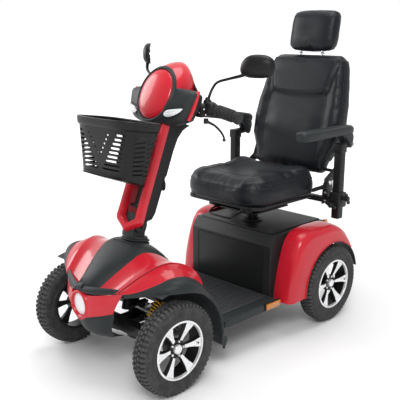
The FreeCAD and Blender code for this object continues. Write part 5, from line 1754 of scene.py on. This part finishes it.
def make_stage():
    """Pale floor, an even bright surround and soft lamps."""
    shader = Shader("studio_floor")
    x, y = shader.axis("X"), shader.axis("Y")
    far = shader.between(x * x + y * y, 0.6, 14)
    finish = shader.finish({"Base Color": shader.mix((0.90, 0.90, 0.90), (0.93, 0.93, 0.93),
                                                     shader.noise(3)),
                            "Roughness": 0.75, "Specular IOR Level": 0.1, "Emission Strength": 1.0,
                            "Emission Color": shader.mix((0, 0, 0), (0.62, 0.62, 0.62), far)})
    floor = grid([[(x, y, 0) for x in (-GROUND_HALF, GROUND_HALF)] for y in (-GROUND_HALF, GROUND_HALF)])
    ground = shaped("studio_ground", floor, [finish])
    world = bpy.data.worlds.new("surround")
    bpy.context.scene.world = world
    world.use_nodes = True
    tree = world.node_tree
    background = tree.nodes["Background"]
    background.inputs["Color"].default_value = (1, 1, 1, 1)
    spot = add_node(tree, "ShaderNodeTexCoord")
    toward = add_node(tree, "ShaderNodeVectorMath", {"operation": "DOT_PRODUCT"},
                      {0: spot.outputs["Generated"], 1: BRIGHT_SIDE})
    level = add_node(tree, "ShaderNodeMapRange", {"interpolation_type": "SMOOTHSTEP"},
                     {"Value": toward.outputs["Value"], "From Min": 0.0, "From Max": 0.8,
                      "To Min": 0.5, "To Max": 1.0})
    tree.links.new(level.outputs[0], background.inputs["Strength"])
    area_light("key_light", (2.4, -2.6, 3.2), (0, -0.1, 0.5), 1.6, 75)
    area_light("side_light", (-3.2, -1.2, 2.2), (0, -0.2, 0.5), 2.0, 50)
    area_light("top_light", (0.2, 0.4, 3.8), (0, 0, 0.5), 2.4, 60)
    bpy.context.scene.view_settings.view_transform = "Standard"


def make_camera():
    lens = bpy.data.cameras.new("view")
    lens.sensor_width = SENSOR_WIDTH
    lens.lens = FOCAL_LENGTH
    lens.shift_x, lens.shift_y = LENS_SHIFT
    camera = bpy.data.objects.new("view", lens)
    camera.location = CAMERA_PLACE
    camera.rotation_euler = (Vector(CAMERA_AIM) - camera.location).to_track_quat("-Z", "Y").to_euler()
    bpy.context.scene.collection.objects.link(camera)
    bpy.context.scene.camera = camera


make_camera()
make_stage()
finish_kept_nodes()
for make in (make_wheels, make_hood, make_wings, make_nose, make_arches, make_rear_body, make_floor,
             make_lamps,
             make_bellows, make_tiller_covers, make_tilt_lever, make_head, make_dial_and_key,
             make_handlebar,
             make_mirrors, make_basket, make_seat_cushion, make_backrest, make_headrest, make_arms,
             make_seat_hardware, make_suspension):
    make()
